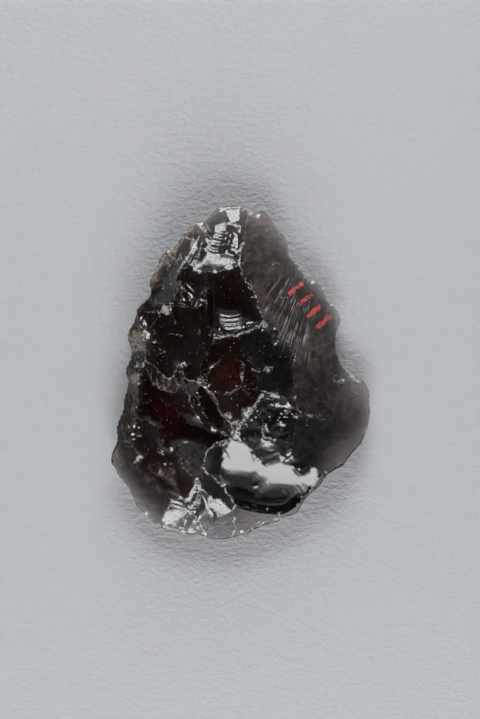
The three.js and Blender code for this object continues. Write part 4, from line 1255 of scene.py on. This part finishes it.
# Each field of the upper side, and its one value on the rest of the stone.
for name, values, other in [
    ("frost", frost, 0.12), ("grit", grit, 0.0), ("cortex", cortex, 0.0), ("crumble", crumble, 0.0),
    ("paint", paint, 0.0), ("hackle", torn, 0.0), ("haze", haze, 0.005),
]:
    mesh.attributes.new(name, "FLOAT", "POINT").data.foreach_set("value", to_mesh(values, other))
colours = np.ones((len(vertices), 4))
colours[:, :3] = to_mesh(hue, 0.9)
mesh.attributes.new("tone", "FLOAT_COLOR", "POINT").data.foreach_set("color", colours.ravel())
print("fields made, seconds", round(time.time() - started, 1))

# %% [markdown]
# ## Shader nodes
# A material is a net of nodes. One function adds a node, sets it up and links it, so that each call in
# the cells below is one node, and what it is given stands beside it.

# %% A function that adds a shader node
def add(tree, kind, inputs, **settings):
    """Adds a node. Each input is a value, another node, or one output of another node."""
    made = tree.nodes.new(kind)
    for name, value in settings.items():
        setattr(made, name, value)
    for name, value in inputs.items():
        if isinstance(value, bpy.types.Node):
            value = value.outputs[0]
        if isinstance(value, bpy.types.NodeSocket):
            tree.links.new(value, made.inputs[name])
        else:
            made.inputs[name].default_value = value
    return made


# %% [markdown]
# ## Volcanic glass
# The real material is obsidian, a natural glass, and its surface was made by fracture. A fresh break is
# as smooth as poured glass, so it mirrors the lights sharply, and its colour comes from below. Typical
# obsidian has an IOR of 1.48 to 1.51. Its patterns are given by their real size: crushed glass in grains
# of a third of a millimetre, crumbs of 0.6 mm, and lumps of tone 1.5 mm wide.

# %% Patterns in the glass
glass = bpy.data.materials.new("volcanic_glass")
glass.use_nodes = True
nodes = glass.node_tree
nodes.nodes.clear()
PER_METRE = 1 / MM
place = add(nodes, "ShaderNodeTexCoord", {}).outputs["Object"]
# Size of the lumps in millimetres, detail, roughness, the part of the noise that counts, and the values
# that it is spread over.
pattern = {}
for name, size, detail, roughness, start, end, least, most in [
    ("patches", 1.3, 2.0, 0.55, 0.36, 0.64, 0.0, 0.40),
    ("crumbs", 0.34, 4.0, 0.75, 0.36, 0.66, 0.0, 1.0),
    ("dust", 3.5, 3.0, 0.55, 0.42, 0.66, 0.35, 1.35),
    ("hackles", 2.2, 3.0, 0.55, 0.25, 0.60, 0.0, 1.0),
    ("grit", 2.6, 4.0, 0.6, 0.38, 0.62, 0.9, 1.9),
    ("mottle", 1.5, 5.0, 0.65, 0.32, 0.68, 0.40, 1.60),
]:
    lumps = add(nodes, "ShaderNodeTexNoise", {
        "Vector": place, "Scale": PER_METRE / size, "Detail": detail, "Roughness": roughness,
    })
    pattern[name] = add(nodes, "ShaderNodeMapRange", {
        "Value": lumps, "From Min": start, "From Max": end, "To Min": least, "To Max": most,
    }, interpolation_type="SMOOTHSTEP")
field = {
    name: add(nodes, "ShaderNodeAttribute", {}, attribute_name=name).outputs["Fac"]
    for name in ("frost", "grit", "cortex", "crumble", "paint", "hackle", "haze")
}
print("patterns", list(pattern))

# %% Crushed glass and crumbs
# Crushed lines and the painted highlights on edges are broken up by two noises, so that the white comes
# and goes along a ridge.
broken = add(nodes, "ShaderNodeMath", {0: pattern["crumbs"], 1: 0.85, 2: pattern["patches"]},
             operation="MULTIPLY_ADD")
crushed = add(nodes, "ShaderNodeMath", {0: field["frost"], 1: broken}, operation="MULTIPLY")
crushed = add(nodes, "ShaderNodeMapRange", {"Value": crushed, "From Min": 0.16, "From Max": 0.78},
              interpolation_type="SMOOTHSTEP")
# A crumb is a round cell. Its own random number and the field say how large it is, down to nothing.
CRUMB_CELL = 0.62
crumb = add(nodes, "ShaderNodeTexVoronoi", {"Vector": place, "Scale": PER_METRE / CRUMB_CELL})
crumb_kind = add(nodes, "ShaderNodeSeparateColor", {"Color": crumb.outputs["Color"]}).outputs[1]
crumb_size = add(nodes, "ShaderNodeMath", {0: crumb_kind, 1: 2.5}, operation="POWER")
crumb_size = add(nodes, "ShaderNodeMath", {0: crumb_size, 1: field["crumble"]}, operation="MULTIPLY")
crumb_size = add(nodes, "ShaderNodeMath", {0: crumb_size, 1: 0.62}, operation="MULTIPLY")
crumb_edge = add(nodes, "ShaderNodeMath", {0: crumb_size, 1: crumb.outputs["Distance"]},
                 operation="SUBTRACT")
crumb_edge = add(nodes, "ShaderNodeMath", {0: pattern["crumbs"], 1: 0.10, 2: crumb_edge},
                 operation="MULTIPLY_ADD")
crumbled = add(nodes, "ShaderNodeMapRange", {"Value": crumb_edge, "From Min": 0.02, "From Max": 0.14},
               interpolation_type="SMOOTHSTEP")
print("nodes so far", len(nodes.nodes))

# %% Dust
# Almost half of the cells hold a speck, and each speck has its own brightness.
SPECK_CELL = 0.65
speck = add(nodes, "ShaderNodeTexVoronoi", {"Vector": place, "Scale": PER_METRE / SPECK_CELL})
speck_kind = add(nodes, "ShaderNodeSeparateColor", {"Color": speck.outputs["Color"]})
speck_on = add(nodes, "ShaderNodeMapRange", {"Value": speck_kind, "From Min": 0.55, "From Max": 0.57},
               interpolation_type="SMOOTHSTEP")
dusty = add(nodes, "ShaderNodeMapRange", {
    "Value": speck.outputs["Distance"], "From Min": 0.11, "From Max": 0.24, "To Min": 0.40, "To Max": 0.0,
}, interpolation_type="SMOOTHSTEP")
for factor in (speck_on, speck_kind.outputs[1], pattern["dust"]):
    dusty = add(nodes, "ShaderNodeMath", {0: dusty, 1: factor}, operation="MULTIPLY")
print("nodes with the dust", len(nodes.nodes))

# %% [markdown]
# ## Hackles
# Where a crack tears instead of running smoothly it leaves fine ridges, called hackles, that point back
# to the blow. On the right facet they fan out from a point beyond the rim. The noise for them is read by
# angle and by distance from that point, so that its lumps are long along the radius and narrow across.

# %% Tears that fan out
FAN_CENTRE = (19.0 * MM, 36.0 * MM)
TEARS_PER_RADIAN = 120.0
TEAR_LENGTH = 6.5
from_fan = add(nodes, "ShaderNodeMapping", {
    "Vector": place, "Location": (-FAN_CENTRE[0], -FAN_CENTRE[1], 0.0), "Scale": (1.0, 1.0, 0.0),
})
fan_parts = add(nodes, "ShaderNodeSeparateXYZ", {"Vector": from_fan})
fan_angle = add(nodes, "ShaderNodeMath", {0: fan_parts.outputs["Y"], 1: fan_parts.outputs["X"]},
                operation="ARCTAN2")
fan_angle = add(nodes, "ShaderNodeMath", {0: fan_angle, 1: TEARS_PER_RADIAN}, operation="MULTIPLY")
fan_radius = add(nodes, "ShaderNodeVectorMath", {0: from_fan}, operation="LENGTH").outputs["Value"]
fan_radius = add(nodes, "ShaderNodeMath", {0: fan_radius, 1: PER_METRE / TEAR_LENGTH},
                 operation="MULTIPLY")
fan = add(nodes, "ShaderNodeCombineXYZ", {"X": fan_angle, "Y": fan_radius})
tears = add(nodes, "ShaderNodeTexNoise", {"Vector": fan, "Scale": 1.0, "Detail": 2.5, "Roughness": 0.6})
hackle = add(nodes, "ShaderNodeMapRange", {
    "Value": tears, "From Min": 0.50, "From Max": 0.64, "To Min": 0.0, "To Max": 0.70,
}, interpolation_type="SMOOTHSTEP")
for factor in (field["hackle"], pattern["hackles"]):
    hackle = add(nodes, "ShaderNodeMath", {0: hackle, 1: factor}, operation="MULTIPLY")
white = crushed
for layer in (crumbled, dusty, hackle):
    white = add(nodes, "ShaderNodeMath", {0: white, 1: layer}, operation="MAXIMUM")
print("nodes with the hackles", len(nodes.nodes))

# %% Grit, old skin and paint
grains = add(nodes, "ShaderNodeTexNoise", {
    "Vector": place, "Scale": PER_METRE / 0.5, "Detail": 5.0, "Roughness": 0.7,
})
gritty = add(nodes, "ShaderNodeMath", {0: grains, 1: pattern["grit"]}, operation="MULTIPLY")
brown = add(nodes, "ShaderNodeMath", {0: grains, 1: 2.0}, operation="MULTIPLY")
masks = {}
for name, amount, noise, start, end in [
    ("gritty", "grit", gritty, 0.26, 0.80), ("brown", "cortex", brown, 0.55, 1.1),
    ("painted", "paint", broken, 0.22, 0.34),
]:
    product = add(nodes, "ShaderNodeMath", {0: field[amount], 1: noise}, operation="MULTIPLY")
    masks[name] = add(nodes, "ShaderNodeMapRange", {"Value": product, "From Min": start, "From Max": end},
                      interpolation_type="SMOOTHSTEP")
print("masks", list(masks))

# %% [markdown]
# ## From patterns to a surface
# Clean glass sends light on, and each coat stops some of it. A coat has a colour, and says how solid and
# how rough it makes the glass. The crushed white hides the colour below it as soon as there is a trace,
# so that its thin places look grey and not brown. The smoky colour of thin edges comes from absorption:
# the glass swallows half of the light in about 1.3 mm, and blue before red.

# %% Coats, and the shader
SMOOTH_BREAK = 0.08
white_cover = add(nodes, "ShaderNodeMapRange", {"Value": white, "From Min": 0.0, "From Max": 0.12},
                  interpolation_type="SMOOTHSTEP")
body = add(nodes, "ShaderNodeAttribute", {}, attribute_name="tone").outputs["Color"]
solid = add(nodes, "ShaderNodeMath", {0: field["haze"], 1: pattern["mottle"]}, operation="MULTIPLY")
rough = SMOOTH_BREAK
# Where the coat's colour covers, where the coat is, its colour, how solid and how rough it is.
for cover, coat, colour, solid_coat, rough_coat in [
    (masks["gritty"], masks["gritty"], "#3d3834", 0.75, 0.55),
    (masks["brown"], masks["brown"], "#54473b", 0.85, 0.0),
    # the white coat holds crushed glass and also the painted highlights on edges and on the upper left
    (white_cover, white, "#b8b5b1", 0.85, 0.6),
    (masks["painted"], masks["painted"], "#c23a35", 0.97, 0.5),
]:
    body = add(nodes, "ShaderNodeMix", {0: cover, 6: body, 7: linear(colour)}, data_type="RGBA").outputs[2]
    share = add(nodes, "ShaderNodeMath", {0: coat, 1: solid_coat}, operation="MULTIPLY")
    solid = add(nodes, "ShaderNodeMath", {0: solid, 1: share}, operation="MAXIMUM")
    share = add(nodes, "ShaderNodeMath", {0: coat, 1: rough_coat}, operation="MULTIPLY")
    rough = add(nodes, "ShaderNodeMath", {0: rough, 1: share}, operation="MAXIMUM")
# A fresh break still has waves a few thousandths of a millimetre high, about half a millimetre apart.
waves = add(nodes, "ShaderNodeTexNoise", {
    "Vector": place, "Scale": PER_METRE / 0.45, "Detail": 3.0, "Roughness": 0.6,
})
relief = add(nodes, "ShaderNodeBump", {"Strength": 0.5, "Distance": 0.02 * MM, "Height": waves})
surface = add(nodes, "ShaderNodeBsdfPrincipled", {
    "Base Color": body, "Roughness": rough, "IOR": 1.49, "Normal": relief,
    "Transmission Weight": add(nodes, "ShaderNodeMath", {0: 1.0, 1: solid}, operation="SUBTRACT"),
})
smoke = add(nodes, "ShaderNodeVolumeAbsorption", {"Color": (0.06, 0.02, 0.0, 1), "Density": 560.0})
add(nodes, "ShaderNodeOutputMaterial", {"Surface": surface, "Volume": smoke})
mesh.materials.append(glass)
print("nodes in the glass", len(nodes.nodes))

# %% The stone takes the place of the plain one
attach(stone, "root")
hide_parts("obsidian_chunk")
print("the stone stands for", NODE)

# %% [markdown]
# ## The paper floor
# The stone lies on heavy handmade paper: cotton pulp, pressed between felts, matt and slightly blue. The
# felt leaves a relief of about a millimetre from bump to bump, a little longer one way than the other.
# It is drawn as bump, because the paper only catches the light and the shadow of the stone.

# %% Floor
FLOOR_SIZE = 1.6
FLOOR_Z = -0.05
bpy.ops.mesh.primitive_plane_add(size=FLOOR_SIZE, location=(0, 0, FLOOR_Z * MM))
floor = bpy.context.object
floor.name = "paper_floor"
paper = bpy.data.materials.new("paper")
paper.use_nodes = True
pulp = paper.node_tree
pulp.nodes.clear()
sheet = add(pulp, "ShaderNodeTexCoord", {}).outputs["Object"]
sheet = add(pulp, "ShaderNodeMapping", {"Vector": sheet, "Scale": (0.75, 1.0, 1.0)})
grain = add(pulp, "ShaderNodeTexNoise", {
    "Vector": sheet, "Scale": PER_METRE, "Detail": 6.0, "Roughness": 0.6,
})
felt = add(pulp, "ShaderNodeBump", {"Strength": 1.0, "Distance": 0.42 * MM, "Height": grain})
matt = add(pulp, "ShaderNodeBsdfPrincipled", {
    "Base Color": linear("#b1b3b6"), "Roughness": 0.9, "Specular IOR Level": 0.1, "Normal": felt,
})
add(pulp, "ShaderNodeOutputMaterial", {"Surface": matt})
floor.data.materials.append(paper)
print("floor in metres", tuple(floor.dimensions))

# %% [markdown]
# ## Light
# A glossy stone looks like what it mirrors. Seen from straight above, a face that leans by half the
# angle between the camera and a light shows that light. Soft lights stand to the north and the south at
# about 60 degrees from straight up, so faces that lean about 30 degrees that way shine, and all others
# stay dark. Each side has four lights inside one another, dim and wide to bright and small, so that a
# shining face grows grey towards its edge, as under a soft box with a bright middle. The room is nearly
# dark overhead and a little lighter round the horizon.

# %% Lights
def softbox(name, side, tilt, distance, width, height, radiance):
    """A rectangular light at an angle from straight up, on the +Y or -Y side."""
    data = bpy.data.lights.new(name, "AREA")
    data.shape = "RECTANGLE"
    data.size = width
    data.size_y = height
    data.energy = radiance * math.pi * width * height
    lamp = bpy.data.objects.new(name, data)
    angle = math.radians(tilt)
    lamp.location = (0, side * distance * math.sin(angle), distance * math.cos(angle))
    lamp.rotation_euler = (-side * angle, 0, 0)
    bpy.context.collection.objects.link(lamp)


# Name, tilt in degrees, distance, width and height in metres, radiance.
softboxes = [
    ("softbox_rim_", 57, 0.600, 0.56, 0.64, 0.45), ("softbox_edge_", 60, 0.595, 0.48, 0.44, 1.3),
    ("softbox_", 62, 0.590, 0.40, 0.32, 3.0), ("softbox_centre_", 63, 0.580, 0.36, 0.22, 7.5),
]
for direction, side in {"north": 1, "south": -1}.items():
    for name, tilt, distance, width, height, radiance in softboxes:
        softbox(name + direction, side, tilt, distance, width, height, radiance)
print("lights", len(bpy.data.lights))

# %% Room
world = bpy.data.worlds.new("room")
world.use_nodes = True
room = world.node_tree
room.nodes.clear()
aim = add(room, "ShaderNodeTexCoord", {}).outputs["Generated"]
upward = add(room, "ShaderNodeSeparateXYZ", {"Vector": aim}).outputs["Z"]
glow = add(room, "ShaderNodeMapRange", {
    "Value": upward, "From Min": 0.0, "From Max": 0.95, "To Min": 0.18, "To Max": 0.03,
})
backdrop = add(room, "ShaderNodeBackground", {"Color": (1, 1, 1, 1), "Strength": glow})
add(room, "ShaderNodeOutputWorld", {"Surface": backdrop})
bpy.context.scene.world = world
bpy.context.scene.view_settings.view_transform = "Standard"
print("world", world.name)

# %% [markdown]
# ## Camera
# The photo looks straight down. A long lens from 40 cm away keeps the outline free of perspective.

# %% Camera
LENS = 100
CAMERA_PLACE = (-0.2 * MM, 2.6 * MM, 403.4 * MM)
camera_data = bpy.data.cameras.new("camera")
camera_data.lens = LENS
camera_data.clip_start = 0.01
camera = bpy.data.objects.new("camera", camera_data)
camera.location = CAMERA_PLACE
bpy.context.collection.objects.link(camera)
bpy.context.scene.camera = camera
print("camera at", CAMERA_PLACE)
